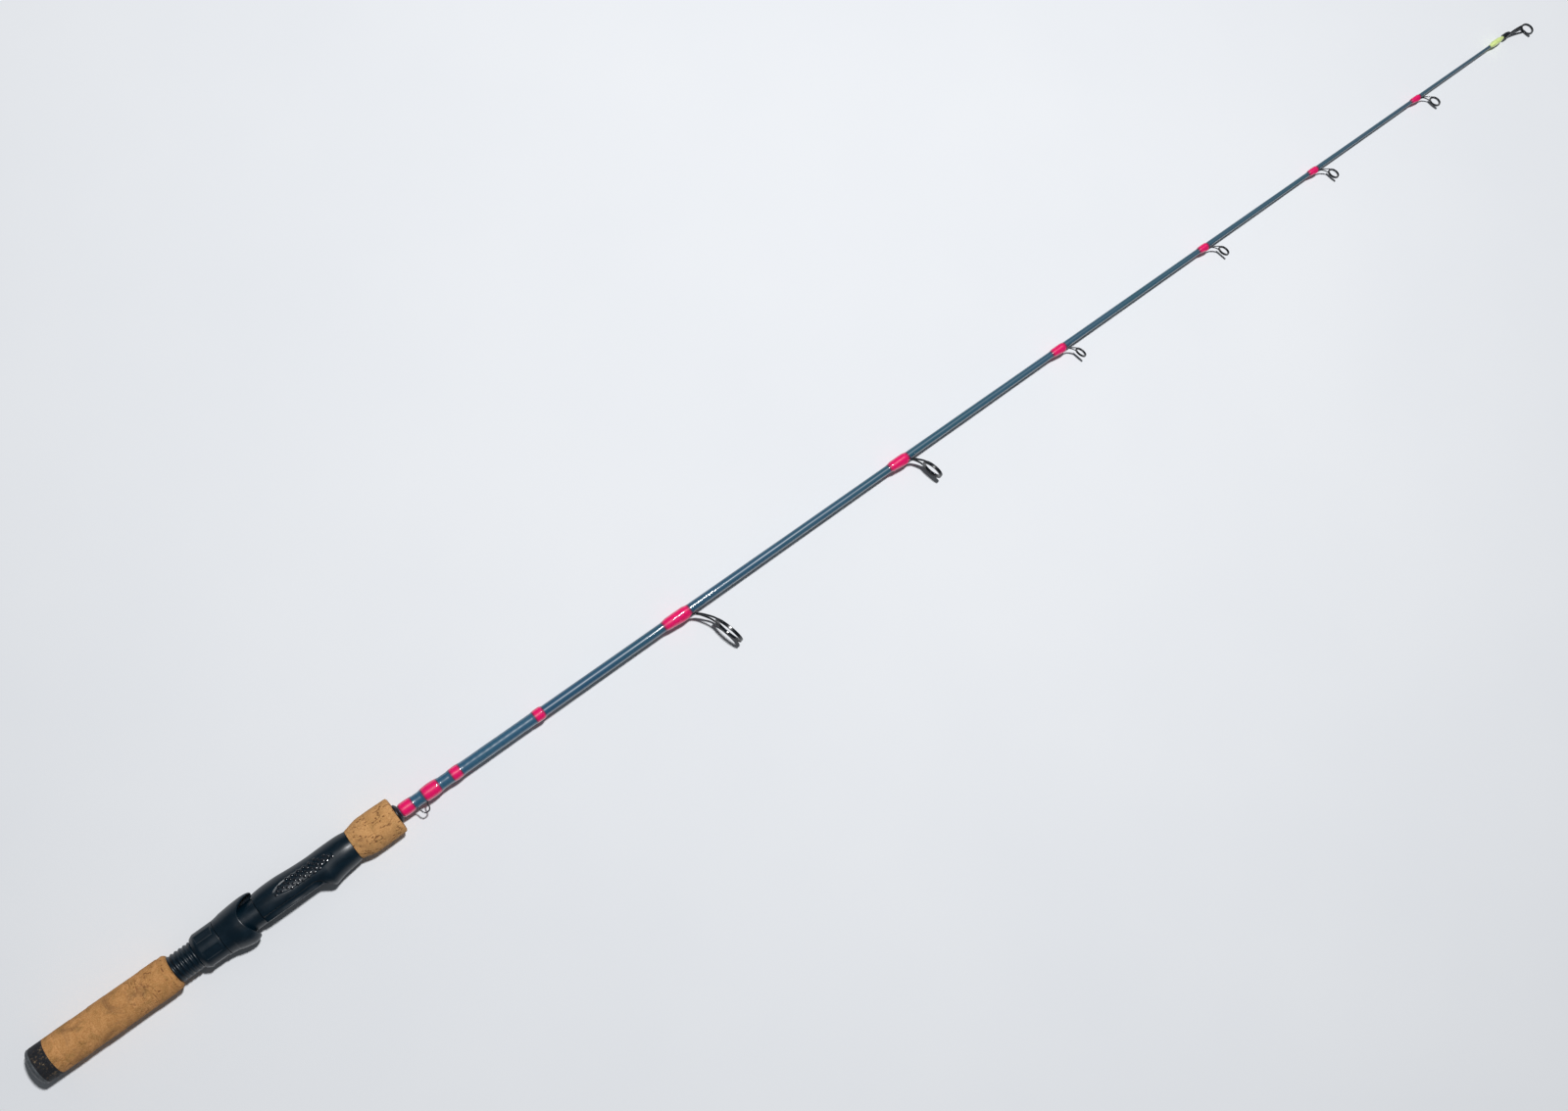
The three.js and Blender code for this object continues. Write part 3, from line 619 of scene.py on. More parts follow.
def butt():
    start, end = span("butt_ring")
    radius = reach("butt_ring") - 0.06
    outline = grip_outline(start, end + JOINT, lambda x: np.full_like(x, radius))
    ring, _ = weathered(turned(outline, 200), lambda place, shift: 0.5 * pits(place, shift, 0.4), 40)
    piece("butt_composite_ring", [ring], COMPOSITE, stands_for=["butt_ring"], sharp=60)
    apex = span("butt_cap")[0]
    edge = reach("butt_cap")
    part = np.linspace(0, 1, 22)
    rise = apex + (1 - np.sqrt(1 - (part * 0.995) ** 2.6)) * (start - apex - 1.1)
    dome = np.stack([rise, part * edge], 1)
    back = [[start - 0.9, edge], [start - 0.05, edge - 0.1], [start - 0.05, 3.2], [start + 8, 3.2],
            [start + 8, 0.0]]
    dome[0, 1] = 0.0
    cap = turned(np.vstack([dome, back]), 120)
    piece("butt_cap_rubber", [cap], RUBBER, stands_for=["butt_cap"], sharp=40)


def winding_check():
    start, end = span("winding_check")
    wide = reach("winding_check", start)
    bore = blank_radius(start) + 0.2
    outline = rounded([(start, bore), (start, wide, 0.15), (start + 0.9, wide - 0.15, 0.5),
                       (start + 1.5, wide - 0.85, 0.3), (end, bore + 0.45, 0.3), (end, bore)])
    piece("winding_check_ring", [turned(outline, 96)], CHECK_PLASTIC, stands_for=["winding_check"])


# ---- reel seat -------------------------------------------------------------------------------

SEAT_START, SEAT_END = span("reel_seat_body")
THREAD = {"pitch": 3.14, "start": SEAT_START + 0.6, "end": SEAT_START + 54.6, "root": 9.45, "crest": 10.3}
SHOULDER = SEAT_START + 68.5
SHOULDER_EASE = 0.45
BARREL_RADIUS = 10.0
BORE = 8.0
BED_DEPTH = 9.8
SOCKET = {"start": 210.0, "end": 231.0, "half_width": 6.4, "height": 4.2}
MOUTH = {"start": 212.3, "apex": 219.7, "slope": 0.718}
CREASE = {"depth": 5.2, "start": 207.0}
HOOD_RISE = {"start": 208.0, "apex": 219.5, "height": 3.7}
WAIST = [(168.9, 11.75), (172, 12.3), (178.7, 12.8), (188, 12.8), (198, 12.05), (210.5, 11.5),
         (223, 11.8), (235, 11.75), (241.2, 11.0)]
PANEL = {"middle": 205.3, "half_length": 22.6, "angle": math.radians(73), "half_width": 0.41,
         "depth": 0.55}
STUDS = {"pitch": 4.3, "rows": 5, "row_pitch": 1.95, "radius": 1.15, "height": 0.72, "bright_row": 3}
WAIST_CURVE = curve([(station, radius, 0) for station, radius in WAIST], 160)


def waist_radius(x):
    return np.interp(x, WAIST_CURVE[:, 0], WAIST_CURVE[:, 1])


def thread_radius(x, angle, clearance=0.0):
    """A right-hand round thread: the barrel's radius at a station and angle."""
    phase = 2 * math.pi * (x - THREAD["start"]) / THREAD["pitch"] - angle
    fade = smooth(x, THREAD["start"], THREAD["start"] + 1) * (1 - smooth(x, THREAD["end"] - 1, THREAD["end"]))
    crest = 0.5 + 0.5 * np.cos(phase)
    return THREAD["root"] + clearance + (THREAD["crest"] - THREAD["root"]) * fade * crest ** 0.8


def hood_rise(x):
    rise = smooth(x, HOOD_RISE["start"], HOOD_RISE["apex"])
    past = np.clip((x - HOOD_RISE["apex"]) / (SEAT_END - HOOD_RISE["apex"]), 0, 1)
    return HOOD_RISE["height"] * rise * (0.15 + 0.85 * (1 - past) ** 2.5)


def body_radius(x, angle):
    """The seat's outside before its bed is cut: barrel, shoulder, waist and fixed hood."""
    if x < SHOULDER:
        edge = smooth(x, THREAD["end"], THREAD["end"] + 0.6)
        return np.where(edge < 1, thread_radius(x, angle), BARREL_RADIUS)
    foot = np.maximum(0, -np.cos(angle)) ** 1.5
    return waist_radius(x) + hood_rise(x) * foot


def bed_height(x):
    """How far below the axis the flat bed, and then the mouth's slope, cut the body."""
    return BED_DEPTH + max(0.0, x - MOUTH["start"]) * MOUTH["slope"]


def crease_height(x):
    """How far below the axis the side's crease runs; it sweeps down into the fixed hood."""
    sweep_down = smooth(x, CREASE["start"], MOUTH["apex"] + 3.0)
    return CREASE["depth"] + 14.0 * sweep_down ** 1.35


def angle_at(x, height):
    """The angle from the back at which the body's outside is this far below the axis."""
    angles = np.linspace(math.pi / 2, math.pi, 400)
    heights = -np.cos(angles) * body_radius(x, angles)
    if height >= heights[-1]:
        return math.pi
    return float(np.interp(height, heights, angles))


BACK, FLUTE, LIP, FLOOR = 132, 18, 6, 14  # how many steps each part of a section has
FLUTE_DEPTH = 1.7
LIP_SIZE = 0.9


def on_circle(angle, radius):
    """The (y, z) of points at an angle about the rod's axis."""
    return np.stack([radius * np.cos(angle), radius * np.sin(angle)], -1)


def half_section(x, inset=0.0):
    """Half of the outside's section at a station, from the back round to the middle of the foot
    side: the round back, the hollow flute below the crease, the bed's lip and the bed."""
    crease = angle_at(x, crease_height(x))
    edge = max(angle_at(x, bed_height(x)), crease)
    behind = np.linspace(0, crease, BACK)
    back = on_circle(behind, body_radius(x, behind) - panel_recess(x, behind) - inset)
    rim = on_circle(edge, body_radius(x, edge) - inset)
    side = rim - back[-1]
    straight = np.linalg.norm(side)
    if x >= SHOULDER and straight > 0.2:
        share = np.linspace(0, 1, FLUTE + 1)[1:, None]
        inward = np.array([side[1], -side[0]]) / straight
        inward *= np.sign(-inward @ (back[-1] + rim) + 1e-9)
        hollow = FLUTE_DEPTH * min(1.0, straight / 4) ** 2 * np.sin(math.pi * share ** 0.78)
        flute = back[-1] + side * share + inward * hollow
    else:
        between = np.linspace(crease, edge, FLUTE + 1)[1:]
        flute = on_circle(between, body_radius(x, between) - inset)
    middle = np.array([rim[0], 0.0])
    size = min(LIP_SIZE, 0.4 * rim[1], 0.5 * max(straight, 1e-6))
    lip_end = rim + (middle - rim) * (size / max(rim[1], 1e-6))
    back_up = flute[-2] - rim
    lip_start = rim + back_up * min(1.0, size / max(np.linalg.norm(back_up), 1e-6))
    lip = rounding(lip_start, rim, lip_end, np.linspace(0, 1, LIP + 1)[:, None])
    bed = lip_end + (middle - lip_end) * np.linspace(0, 1, FLOOR + 1)[1:, None]
    return np.vstack([back, flute[:-1], lip, bed])


def panel_recess(x, angle):
    """The lens-shaped recess that the studs stand in."""
    away = panel_room(x) - np.abs(angle - PANEL["angle"])
    ends = smooth(PANEL["half_length"] - abs(x - PANEL["middle"]), 0.0, 1.0)
    return PANEL["depth"] * smooth(away, -0.01, 0.06) * ends


def ring_row(x, half):
    """A full section from its half: up one side and back down the other."""
    other = half[-2:0:-1] * (1, -1)
    whole = np.vstack([half, other])
    return np.column_stack([np.full(len(whole), x), whole])


def seat_shell():
    threaded = np.arange(THREAD["start"], THREAD["end"] + 0.6, THREAD["pitch"] / 12)
    stations = np.concatenate([
        [SEAT_START], threaded, np.linspace(THREAD["end"] + 0.7, SHOULDER - 0.05, 12),
        SHOULDER + np.array([0.0, 0.06, 0.2, SHOULDER_EASE]),
        np.arange(SHOULDER + 0.8, MOUTH["start"] - 0.2, 0.42),
        np.arange(MOUTH["start"], MOUTH["apex"], 0.22),
        np.arange(MOUTH["apex"], SEAT_END - 0.4, 0.42),
        [SEAT_END - 0.2, SEAT_END],
    ])
    rows = [ring_row(x, half_section(x, shoulder_ease(x))) for x in stations]
    for x, row in ((SEAT_END, rows[-1]), (SEAT_START, rows[0])):
        bore = on_circle(np.arctan2(row[:, 2], row[:, 1]), BORE)
        rows.append(np.column_stack([np.full(len(row), x), bore]))
    return skin(np.array(rows))


def shoulder_ease(x):
    """How far the shoulder's rounded corner draws the outside in."""
    past = np.clip((x - SHOULDER) / SHOULDER_EASE, 0, 1)
    return SHOULDER_EASE * (1 - math.sqrt(1 - (1 - past) ** 2)) if x >= SHOULDER else 0.0


def socket_cutter():
    """The tapering socket for the front of the reel foot, with rounded corners across it."""
    wide, tall = SOCKET["half_width"], SOCKET["height"]
    rows = []
    for x, height in ((SOCKET["start"], tall), (HOOD_RISE["apex"], tall), (SOCKET["end"], 1.6)):
        floor, ceiling = BED_DEPTH - 0.02, BED_DEPTH + height
        narrow = wide - 2.0 * height / tall
        half = [(floor, wide, 0.3), (BED_DEPTH + 0.5 * height, wide, 0.8), (ceiling, narrow, 0.8)]
        outline = rounded(half + [(depth, -across, round_off) for depth, across, round_off in half[::-1]])
        rows.append(np.column_stack([np.full(len(outline), x), -outline[:, 0], outline[:, 1]]))
    first, last = (np.tile(row.mean(0), (len(row), 1)) for row in (rows[0], rows[-1]))
    return skin(np.array([first, *rows, last]), closed=False)


def cut(target, skins):
    """Cuts a closed shape, given in the rod's frame, out of a finished piece."""
    cutter = welded("cutter", [skins])
    difference = target.modifiers.new("cut", "BOOLEAN")
    difference.operation = "DIFFERENCE"
    difference.object = cutter
    bpy.context.view_layer.update()
    cut_mesh = bpy.data.meshes.new_from_object(target.evaluated_get(bpy.context.evaluated_depsgraph_get()))
    target.modifiers.clear()
    cut_mesh.name = target.data.name
    target.data = cut_mesh
    cut_mesh.set_sharp_from_angle(angle=math.radians(35))
    bpy.data.objects.remove(cutter)


def stud(x, angle, floor):
    """One low peg with a barely crowned, polished top, standing on the panel's floor."""
    wide, tall, sunk, point = STUDS["radius"], STUDS["height"], 0.3, 1e-4
    profile = [(wide, -sunk), (wide, tall * 0.55), (wide * 0.9, tall * 0.84),
               (wide * 0.68, tall * 0.96), (point, tall)]
    turn = np.linspace(0, 2 * math.pi, 16, endpoint=False)
    outwards = np.array([0, math.cos(angle), math.sin(angle)])
    sideways = np.array([0, -math.sin(angle), math.cos(angle)])
    centre = np.array([x, 0, 0]) + outwards * floor
    grid = [np.tile(centre - outwards * sunk, (len(turn), 1))]
    for radius, height in profile:
        ring = np.outer(np.cos(turn) * radius, (1, 0, 0)) + np.outer(np.sin(turn) * radius, sideways)
        grid.append(centre + outwards * height + ring)
    return skin(np.array(grid), closed=False)


def panel_room(x):
    """Half the panel's width at a station, as an angle."""
    along = min(abs(x - PANEL["middle"]) / PANEL["half_length"], 1.0)
    return PANEL["half_width"] * (1 - along ** 2.4) ** 0.6


def stud_panel():
    """Staggered rows of studs; the row nearest the centre line runs the panel's whole length."""
    studs = []
    for side in (1, -1):
        for row in range(STUDS["rows"]):
            offset = row - (STUDS["rows"] - 1) / 2
            for i in range(-6, 7):
                x = PANEL["middle"] + STUDS["pitch"] * (i + 0.5 * (row % 2 == 0))
                floor = float(waist_radius(x)) - PANEL["depth"]
                angle = PANEL["angle"] + offset * STUDS["row_pitch"] / floor
                spare = 0.11 if row == STUDS["bright_row"] else -0.01
                on_panel = abs(x - PANEL["middle"]) <= PANEL["half_length"] - 0.6
                if on_panel and abs(angle - PANEL["angle"]) < panel_room(x) + spare:
                    studs.append(stud(x, side * angle, floor))
    made = piece("grip_studs", studs, STUD_PLASTIC, sharp=50)


def reel_seat():
    body = piece("reel_seat", [seat_shell()], SEAT_PLASTIC, stands_for=["reel_seat_body"], sharp=28)
    cut(body, socket_cutter())
    stud_panel()


# ---- lock nut and sliding hood ---------------------------------------------------------------

NUT = {"start": span("lock_nut")[0], "face": 139.55, "radius": 13.0, "rear": 11.2, "neck": 11.5, "lip": 12.0,
       "lip_start": 141.7, "lip_end": span("lock_nut")[1], "clearance": 0.35}
NUT_GRIP = {"count": 6, "start": 125.6, "end": 137.6, "width": 6.5, "depth": 0.8}
HOOD = {"start": span("sliding_hood")[0], "stretch": 146.0, "side": 156.9, "back": 12.6, "foot": 4.6,
        "bulge": 0.9}
EAR = {"back_tuck": 1.0, "foot_tuck": 2.3, "length": 6.0, "narrowing": 2.1, "roll": math.radians(15)}


def nut_grips(x, radius, angle):
    """The nut's outside with its flat-floored grip recesses pressed in."""
    step = 2 * math.pi / NUT_GRIP["count"]
    middle = math.pi / 2 + 0.35 * step
    turn = (angle - middle + step / 2) % step - step / 2
    across = NUT["radius"] * np.abs(np.sin(turn))
    hollow = smooth(NUT_GRIP["width"] / 2 - across, 0, 0.35)
    hollow = hollow * smooth(x, NUT_GRIP["start"], NUT_GRIP["start"] + 0.4)
    hollow = hollow * (1 - smooth(x, NUT_GRIP["end"] - 0.4, NUT_GRIP["end"]))
    floor = (NUT["radius"] - NUT_GRIP["depth"]) / np.cos(turn)
    outside = (radius > NUT["radius"] - 0.4) & (x < NUT["face"] - 0.5)
    return np.where(outside, radius + (np.minimum(floor, radius) - radius) * hollow, radius)


def lock_nut():
    bore = THREAD["root"] + NUT["clearance"]
    plain = THREAD["crest"] + NUT["clearance"]
    face, rear = NUT["face"], NUT["start"]
    outside = rounded([
        (rear, bore + 0.3), (rear, NUT["rear"], 0.5), (rear + 2.9, NUT["radius"] - 0.1, 0.9),
        (face, NUT["radius"], 0.25), (face, NUT["neck"]), (NUT["lip_start"], NUT["neck"]),
        (NUT["lip_start"], NUT["lip"], 0.1), (NUT["lip_end"], NUT["lip"] - 0.3, 0.2), (NUT["lip_end"], plain),
        (face - 0.4, plain), (face - 0.8, bore),
    ])
    bore_rows = np.arange(face - 1.0, rear + 0.2, -THREAD["pitch"] / 12)
    outline = finer(np.vstack([outside, [(x, bore) for x in bore_rows]]), 0.35)

    def warp(x, radius, angle):
        inside = (radius < bore + 0.01) & (x < face - 0.7)
        return x, np.where(inside, thread_radius(x, angle, NUT["clearance"]), nut_grips(x, radius, angle))

    piece("lock_nut_body", [turned(outline, 300, warp)], SEAT_PLASTIC, "nut", ["lock_nut"], sharp=70)


def hood_ears(x, radius, angle):
    """Draws the hood's front out into its two ears, bulges the foot side and tucks the rim in."""
    side, stretch = HOOD["side"], HOOD["stretch"]
    back = np.cos(angle + EAR["roll"])
    room = np.where(back > 0, HOOD["back"] * abs(back) ** EAR["narrowing"], HOOD["foot"] * back ** 2)
    drawn = stretch + (x - stretch) * (side + room - stretch) / (side - stretch)
    new_x = np.where(x > stretch, drawn, x)
    bulge = HOOD["bulge"] * np.maximum(0, -back) ** 2 * smooth(x, stretch - 3, 151.0)
    near_rim = np.clip(1 - (side + room - new_x) / EAR["length"], 0, 1) ** 2
    tuck = np.where(back > 0, EAR["back_tuck"], EAR["foot_tuck"]) * back ** 2 * near_rim
    moved = (radius > 10.71) & (x > 145.6)
    return new_x, np.where(moved, radius + bulge - tuck, radius)


def sliding_hood():
    start, side, stretch = HOOD["start"], HOOD["side"], HOOD["stretch"]
    lip_room, neck_room = NUT["lip"] + 0.35, NUT["neck"] + 0.3
    outline = rounded([
        (start, neck_room), (start, 13.0, 0.25), (143.0, 13.45, 1.0), (147.5, 14.45, 2.0),
        (151.5, 15.25, 2.0), (side - 0.1, 15.5, 0.9), (side - 0.1, 14.3, 0.25), (151.5, 13.95, 1.0),
        (148.5, 13.2, 1.0), (stretch, 11.6, 0.4), (145.6, 10.7), (143.8, 10.7), (143.8, lip_room),
        (NUT["lip_start"] - 0.3, lip_room), (NUT["lip_start"] - 0.3, neck_room),
    ])
    outline = finer(outline, 0.5)

    shell = turned(outline, 240, hood_ears)
    piece("sliding_hood_shell", [shell], SEAT_PLASTIC, "hood", ["sliding_hood"], sharp=45)


# ---- blank, wraps and coats ------------------------------------------------------------------

def blank():
    x = np.linspace(BLANK_START, BLANK_END, 340)
    drift = 0.02 * np.sin(x / 37.0) + 0.015 * np.sin(x / 11.3 + 1.0)
    outside = np.stack([x, blank_radius(x) - 0.03 + drift], 1)
    inside = [[BLANK_END, BLANK_TIP - 0.55], [BLANK_START, BLANK_BUTT - 1.1]]
    tube = turned(np.vstack([outside, inside]), 56)
    piece("blank_tube", [tube], BLANK_GLASS, stands_for=["blank"], sharp=60)


def sleeve(name, node, start, end, height, finish, darker_ends, foot=None):
    """A coat round the blank. height(x) is how thick it is, the thread turns darker that far in from its
    ends, and a foot under it (its rise, and where that starts and is full) swells one side."""
    x = np.linspace(start, end, max(24, int((end - start) / 0.35)))
    outline = np.vstack([np.stack([x, blank_radius(x) + height(x)], 1),
                         [[end, blank_radius(end) + 0.01], [start, blank_radius(start) + 0.01]]])

    def warp(x, radius, angle):
        ripple = 0.03 * np.sin(3 * angle + x * 0.7) * np.sin(x * 0.45)
        outside = radius > blank_radius(x) + 0.05
        grown = radius + np.where(outside, ripple, 0)
        if foot:
            rise, from_x, full_x = foot
            turn = np.abs(angle - math.pi)
            hump = rise * np.exp(-(turn / 0.42) ** 2) * smooth(x, from_x, full_x)
            grown = grown + np.where(outside, hump, 0)
        return x, grown

    def nearness(place):
        inwards = min(place[0] - start, end - place[0])
        return min(max(1 - inwards / darker_ends, 0.0), 1.0)

    made = piece(name, [turned(outline, 72, warp)], finish, stands_for=[node], sharp=50)
    mark(made, "end", nearness)


def bead(x, start, end, thick, ease):
    """A coat's thickness: thin at its ends, rising over `ease` mm to a gently crowned middle."""
    ramp = np.minimum(smooth(x, start, start + ease), 1 - smooth(x, end - ease, end))
    along = np.clip((x - start) / (end - start), 0, 1)
    return 0.06 + (thick - 0.06) * ramp * (0.86 + 0.14 * np.sin(math.pi * along))


GUIDES = range(1, 7)
LARGE_GUIDES = (1, 2)

# The thread bands in front of the grip, each with the coat's thickness over it, and the gaps
# between them: one epoxy coat runs over them all.
TRIM_BANDS = {"trim_wrap_1": 0.95, "trim_wrap_2": 1.35, "trim_wrap_3": 0.85, "trim_wrap_4": 0.85}
TRIM_GAPS = ["keeper_gap_coat", "trim_gap_coat", "long_clear_coat"]
TRIM_COAT = 0.34


def trim_height(x):
    """The whole trim's coat: humps over the thread bands, dips between them."""
    height = TRIM_COAT + 0.06 * np.sin(x / 6.0)
    for node, thickness in TRIM_BANDS.items():
        start, end = span(node)
        middle, half = (start + end) / 2, (end - start) / 2 + 1.6
        hump = np.clip(1 - ((x - middle) / half) ** 2, 0, 1) ** 0.9
        height = np.maximum(height, TRIM_COAT + (thickness - TRIM_COAT) * hump)
    first, last = span("trim_wrap_1")[0], span("trim_wrap_4")[1]
    return height * (0.25 + 0.75 * smooth(x, first, first + 1.5)) * (1 - 0.85 * smooth(x, last - 2.0, last))


def trim():
    nodes = sorted([*TRIM_BANDS, *TRIM_GAPS], key=lambda node: span(node)[0])
    joins = [(span(a)[1] + span(b)[0]) / 2 for a, b in zip(nodes, nodes[1:])]
    starts = [span(nodes[0])[0]] + joins
    ends = joins + [span(nodes[-1])[1]]
    for node, start, end in zip(nodes, starts, ends):
        finish = PINK_THREAD if node in TRIM_BANDS else CLEAR_COAT
        sleeve(node + "_epoxy", node, start, end, trim_height, finish, 2.4)


def guide_wraps():
    for i in GUIDES:
        node = f"guide_{i}_wrap"
        start, end = span(node)
        length = end - start
        thick, rise = (0.85, 1.0) if i in LARGE_GUIDES else (0.62, 0.85)

        def height(x, start=start, end=end, thick=thick, ease=0.22 * length):
            return bead(x, start, end, thick, ease)

        foot = (rise, start + 0.12 * length, end - 0.25 * length)
        sleeve(f"guide_{i}_epoxy", node, start, end, height, PINK_THREAD, 3.2, foot)


def tip_wrap():
    start, end = span("tip_wrap")

    def height(x):
        return bead(x, start, end, 1.05, 5.0)

    sleeve("tip_wrap_epoxy", "tip_wrap", start, end, height, LIME_THREAD, 1.2)


def hook_keeper():
    start, end = span("hook_keeper")
    wire = 0.5
    rear, front = start + 7.5, end - 6.2
    low = -local("hook_keeper")[:, 1].min() - wire - 0.02

    def under(x):
        return -(blank_radius(x) + wire + 0.05)

    middle = (rear + front) / 2
    path = curve([
        (start + 0.5, under(start), 0), (rear - 2.6, under(rear), 0), (rear - 1.2, under(rear) - 0.25, 0),
        (rear - 0.2, under(rear) - 1.5, 0), (rear + 0.35, -low * 0.80, 0), (rear + 1.5, -low * 0.965, 0),
        (middle, -low, 0), (front - 1.5, -low * 0.965, 0), (front - 0.35, -low * 0.80, 0),
        (front - 0.1, under(front) - 1.5, 0), (front + 0.9, under(front) - 0.25, 0),
        (front + 2.4, under(front), 0), (end - 0.5, under(end), 0),
    ], 90)
    piece("hook_keeper_wire", [sweep(path, wire, sides=12)], BLACK_METAL, stands_for=["hook_keeper"])


# ---- guides ----------------------------------------------------------------------------------

# A ring's place is its centre's station, its height off the axis and its tilt in degrees.

def tilted(points, place):
    """Turns points made about the rod's axis to a ring's tilt and moves them to its place."""
    centre, height, tilt = place
    lean = math.radians(tilt)
    turn = np.array([[math.cos(lean), -math.sin(lean), 0], [math.sin(lean), math.cos(lean), 0], [0, 0, 1]])
    return points @ turn.T + np.array([centre, -height, 0])


def ring_point(place, radius, angle):
    """A point on a tilted ring: angle 0 is nearest the blank, and 90 is the side facing up."""
    turn = math.radians(angle)
    return tilted(np.array([[0, radius * math.cos(turn), radius * math.sin(turn)]]), place)[0]


def hoop(place, outer, inner, width, soft=0.3):
    """A flat band bent round into a ring, with softened corners."""
    half = width / 2
    corners = [(-half, inner, soft), (-half, outer, soft), (half, outer, soft), (half, inner, soft)]
    points, faces = turned(rounded(corners, 5), 96)
    return tilted(points, place), faces


def ring_facts(node, tilt):
    """A ring's place and its outer radius, from its CAD ring."""
    points = local(node)
    low, high = points.min(0), points.max(0)
    return ((low[0] + high[0]) / 2, -(low[1] + high[1]) / 2, tilt), (high[2] - low[2]) / 2


GUIDE_TILT = 15.0
SPLAY = 52.0
LARGE = {"band": 0.95, "width": 2.4, "leg": 0.80, "lift": 0.5, "insert": 0.75}
SMALL = {"band": 0.62, "width": 1.5, "leg": 0.44, "lift": 0.25, "insert": 0.5}


def guide_leg(side, leave, fork, place, outer, size):
    """One leg: side by side with the other where they leave the foot, then out to the hoop."""
    leg = size["leg"]
    meet = ring_point(place, outer - size["band"] / 2, side * SPLAY)
    near = side * leg * 0.9
    bend = leave + (fork - leave) * 0.45 + np.array([0.5, size["lift"], 0])
    bow = fork + (meet - fork) * 0.5 + np.array([0.04 * outer, 0.05 * outer, side * 0.03 * outer])
    path = curve([leave + (-2.5, 0.1, near * 0.8), leave + (0, 0, near),
                  bend + (0, 0, near + 0.16 * meet[2]), fork + (0, 0, 0.46 * meet[2]),
                  bow + (0, 0, 0.2 * meet[2]), meet], 44)
    girth = np.interp(np.arange(45), [0, 10, 30, 44], [leg * 0.9, leg, leg * 0.92, leg * 0.86])
    return sweep(path, girth)


def guide(i):
    place, insert_outer = ring_facts(f"guide_{i}_ring", GUIDE_TILT)
    size = LARGE if i in LARGE_GUIDES else SMALL
    outer = insert_outer + size["band"] + 0.25
    wrap_start, wrap_end = span(f"guide_{i}_wrap")
    foot_y = -(blank_radius(wrap_start) + 0.77)
    leave = np.array([wrap_end - 0.6, foot_y, 0])
    foot_start = wrap_start + 0.45 * (wrap_end - wrap_start)
    foot = curve([(foot_start, foot_y + 0.35, 0), (wrap_end - 4.0, foot_y, 0), leave], 22)
    taper = np.interp(np.arange(23), [0, 8, 22], [0.4, 0.8, 0.95])
    fork = leave + (ring_point(place, outer, 0) - leave) * 0.56 + np.array([0.07 * outer, 0.04 * outer, 0])
    legs = [guide_leg(side, leave, fork, place, outer, size) for side in (1, -1)]
    wire = [hoop(place, outer, outer - size["band"], size["width"]), sweep(foot, taper, 0.36), *legs]
    piece(f"guide_{i}_wire", wire, BLACK_METAL, stands_for=[f"guide_{i}_frame"])
    insert = hoop(place, insert_outer + 0.2, insert_outer - size["insert"], size["width"] - 0.25, 0.42)
    piece(f"guide_{i}_insert", [insert], RING_CERAMIC, stands_for=[f"guide_{i}_ring"])


def tip_top():
    place, insert_outer = ring_facts("tip_top_ring", 12.0)
    start = span("tip_top_frame")[0]
    outer = insert_outer + 0.95
    tube_end, tube = start + 7.4, 2.1
    bore = blank_radius(start) + 0.02
    outline = rounded([(start, bore), (start, tube, 0.2), (start + 4.4, tube, 0.4),
                       (tube_end, tube - 0.75, 0.5), (tube_end, 0.0), (tube_end - 1.5, 0.0),
                       (tube_end - 1.5, bore)])
    skins = [turned(outline, 48), hoop(place, outer, outer - 0.7, 1.5)]
    for turn, side in ((-90, -1), (30, 1)):
        meet = ring_point(place, outer - 0.35, turn)
        root = np.array([start + 2.5, -0.7, side * 1.75])
        bow = root + (meet - root) * 0.5 + np.array([0, 0.5, side * 0.6])
        skins.append(sweep(curve([root, bow, meet], 30), 0.62))
    brace = curve([(tube_end - 1.8, -0.7, 0), ring_point(place, outer - 0.3, -30)], 10)
    skins.append(sweep(brace, 0.6))
    piece("tip_top_wire", skins, BLACK_METAL, stands_for=["tip_top_frame"])
    insert = hoop(place, insert_outer + 0.2, insert_outer - 0.5, 1.3, 0.35)
    piece("tip_top_insert", [insert], RING_CERAMIC, stands_for=["tip_top_ring"])


# ---- floor, light and camera -----------------------------------------------------------------

CAMERA = {"station": 325.3, "side": -28.6, "height": 1205.4, "aim_station": 600.3, "aim_side": -7.8,
          "heading": -34.57, "lens": 39.375, "sensor": 36.0}
LAMP = {"station": 900.0, "side": 340.0, "height": 2300.0, "aim_station": 650.0, "size": 0.17, "power": 54.0}


def on_rod(x, y, z):
    return ROD @ (Vector((x, y, z)) * MM)


def camera():
    data = bpy.data.cameras.new("camera")
    data.lens = CAMERA["lens"]
    data.sensor_width = CAMERA["sensor"]
    data.clip_end = 50
    place = on_rod(CAMERA["station"], CAMERA["side"], CAMERA["height"])
    forward = (on_rod(CAMERA["aim_station"], CAMERA["aim_side"], 0) - place).normalized()
    heading = math.radians(CAMERA["heading"])
    flat = ROD.to_3x3() @ Vector((math.cos(heading), math.sin(heading), 0))
    right = (flat - forward * flat.dot(forward)).normalized()
    view = Matrix((right, right.cross(forward), forward * -1)).transposed().to_4x4()
    view.translation = place
    bpy.context.scene.camera = placed_in_scene("camera", data, view)


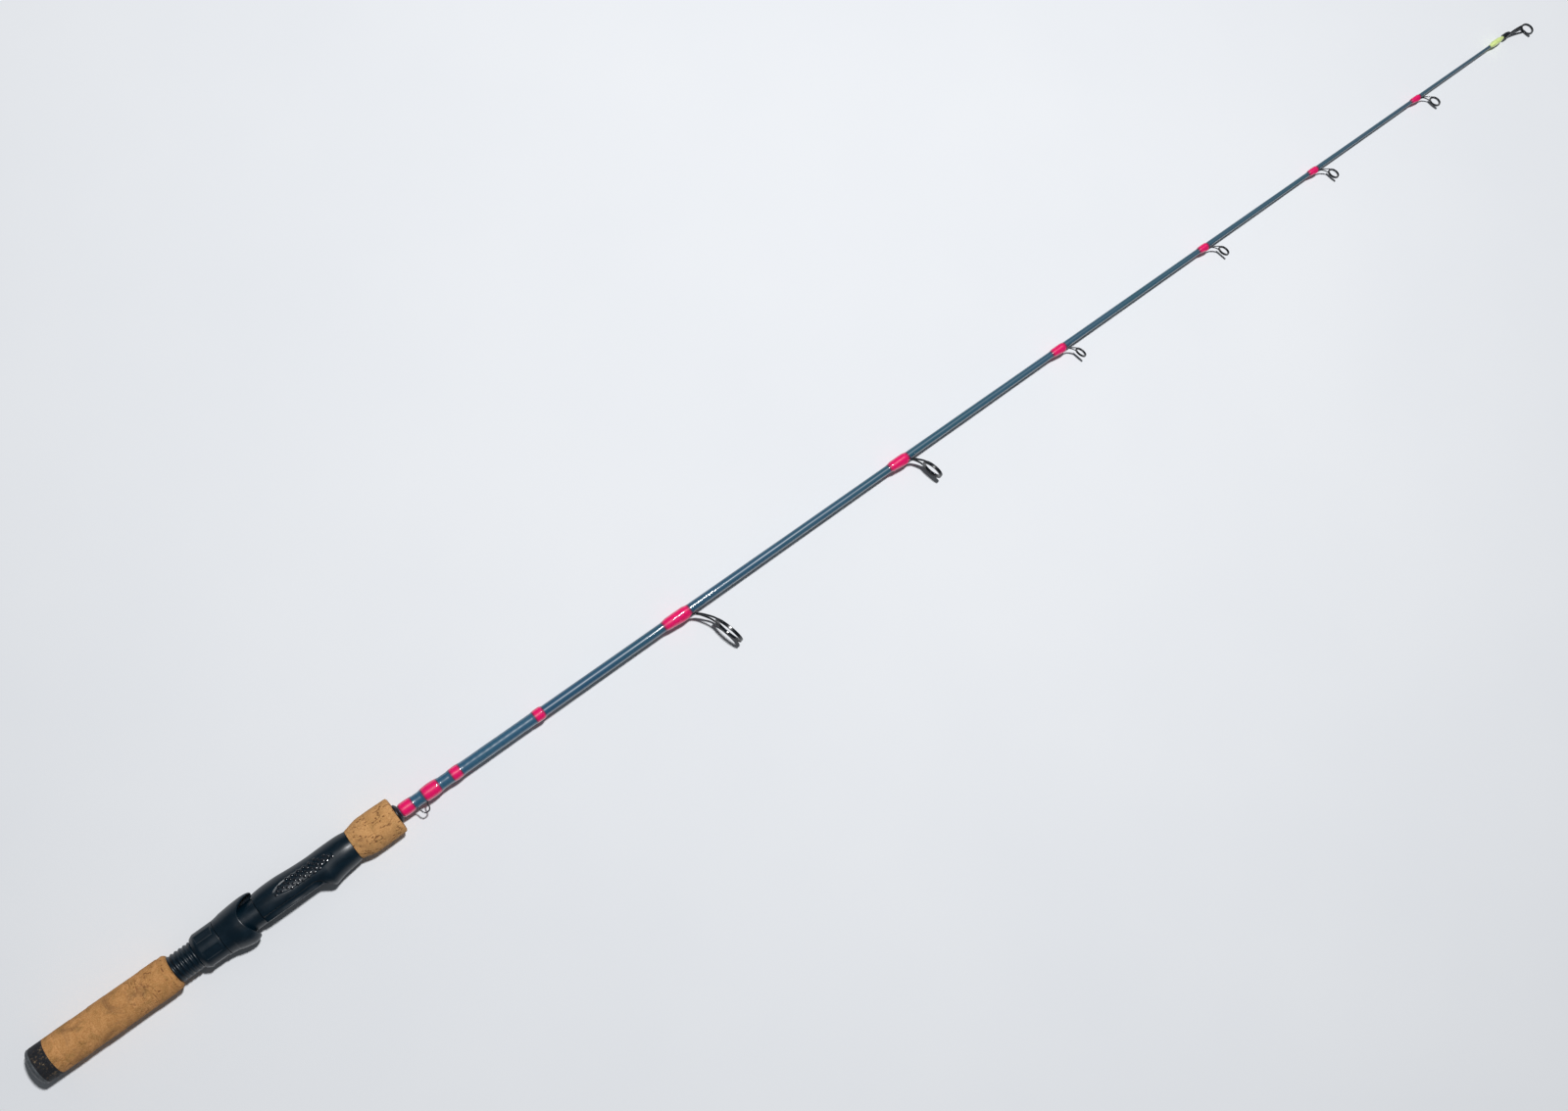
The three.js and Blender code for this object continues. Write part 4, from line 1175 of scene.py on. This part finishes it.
def lamp():
    data = bpy.data.lights.new("lamp", "AREA")
    data.shape = "DISK"
    data.size = LAMP["size"]
    data.energy = LAMP["power"]
    data.color = (0.985, 0.99, 1.0)
    place = on_rod(LAMP["station"], LAMP["side"], LAMP["height"])
    aim = on_rod(LAMP["aim_station"], 0, 0)
    turn = (aim - place).to_track_quat("-Z", "Y").to_matrix().to_4x4()
    placed_in_scene("lamp", data, Matrix.Translation(place) @ turn)


def surroundings():
    world = bpy.data.worlds.new("studio")
    world.use_nodes = True
    backdrop = world.node_tree.nodes["Background"]
    backdrop.inputs["Color"].default_value = (0.86, 0.93, 1.0, 1)
    backdrop.inputs["Strength"].default_value = 0.11
    bpy.context.scene.world = world
    bpy.context.scene.view_settings.view_transform = "Standard"


FLOOR_SIZE = 6.0
FLOOR_GAP = 0.0002


def floor():
    mesh = bpy.data.meshes.new("floor")
    shape = bmesh.new()
    bmesh.ops.create_grid(shape, x_segments=60, y_segments=60, size=FLOOR_SIZE / 2)
    shape.to_mesh(mesh)
    shape.free()
    paper = Finish("paper", Specular_IOR_Level=0.2)
    shade = paper.cloud(paper.stretched(0.004, 0.004), 4, 0.55)
    fibre = paper.cloud(paper.place, 3, 0.6, scale=1.5)
    colour = paper.ramp(shade, (0.3, (0.775, 0.790, 0.815)), (0.7, (0.80, 0.812, 0.832)))
    paper.bumps((fibre, 0.05))
    mesh.materials.append(paper.finish(colour, paper.ramp(fibre, (0.3, 0.85), (0.7, 0.95))))
    under = Matrix.Translation((0, 0, cad_box[0][2] - FLOOR_GAP))
    placed_in_scene("floor", mesh, under)


# ---- assembly --------------------------------------------------------------------------------

camera()
lamp()
surroundings()
floor()
blank()
butt()
rear_grip()
reel_seat()
lock_nut()
sliding_hood()
fore_grip()
winding_check()
trim()
hook_keeper()
guide_wraps()
for number in GUIDES:
    guide(number)
tip_wrap()
tip_top()
for arbor in ("seat_arbor_rear", "seat_arbor_front"):
    frame["nodes"][arbor].data.materials.clear()
    frame["nodes"][arbor].data.materials.append(FOAM)
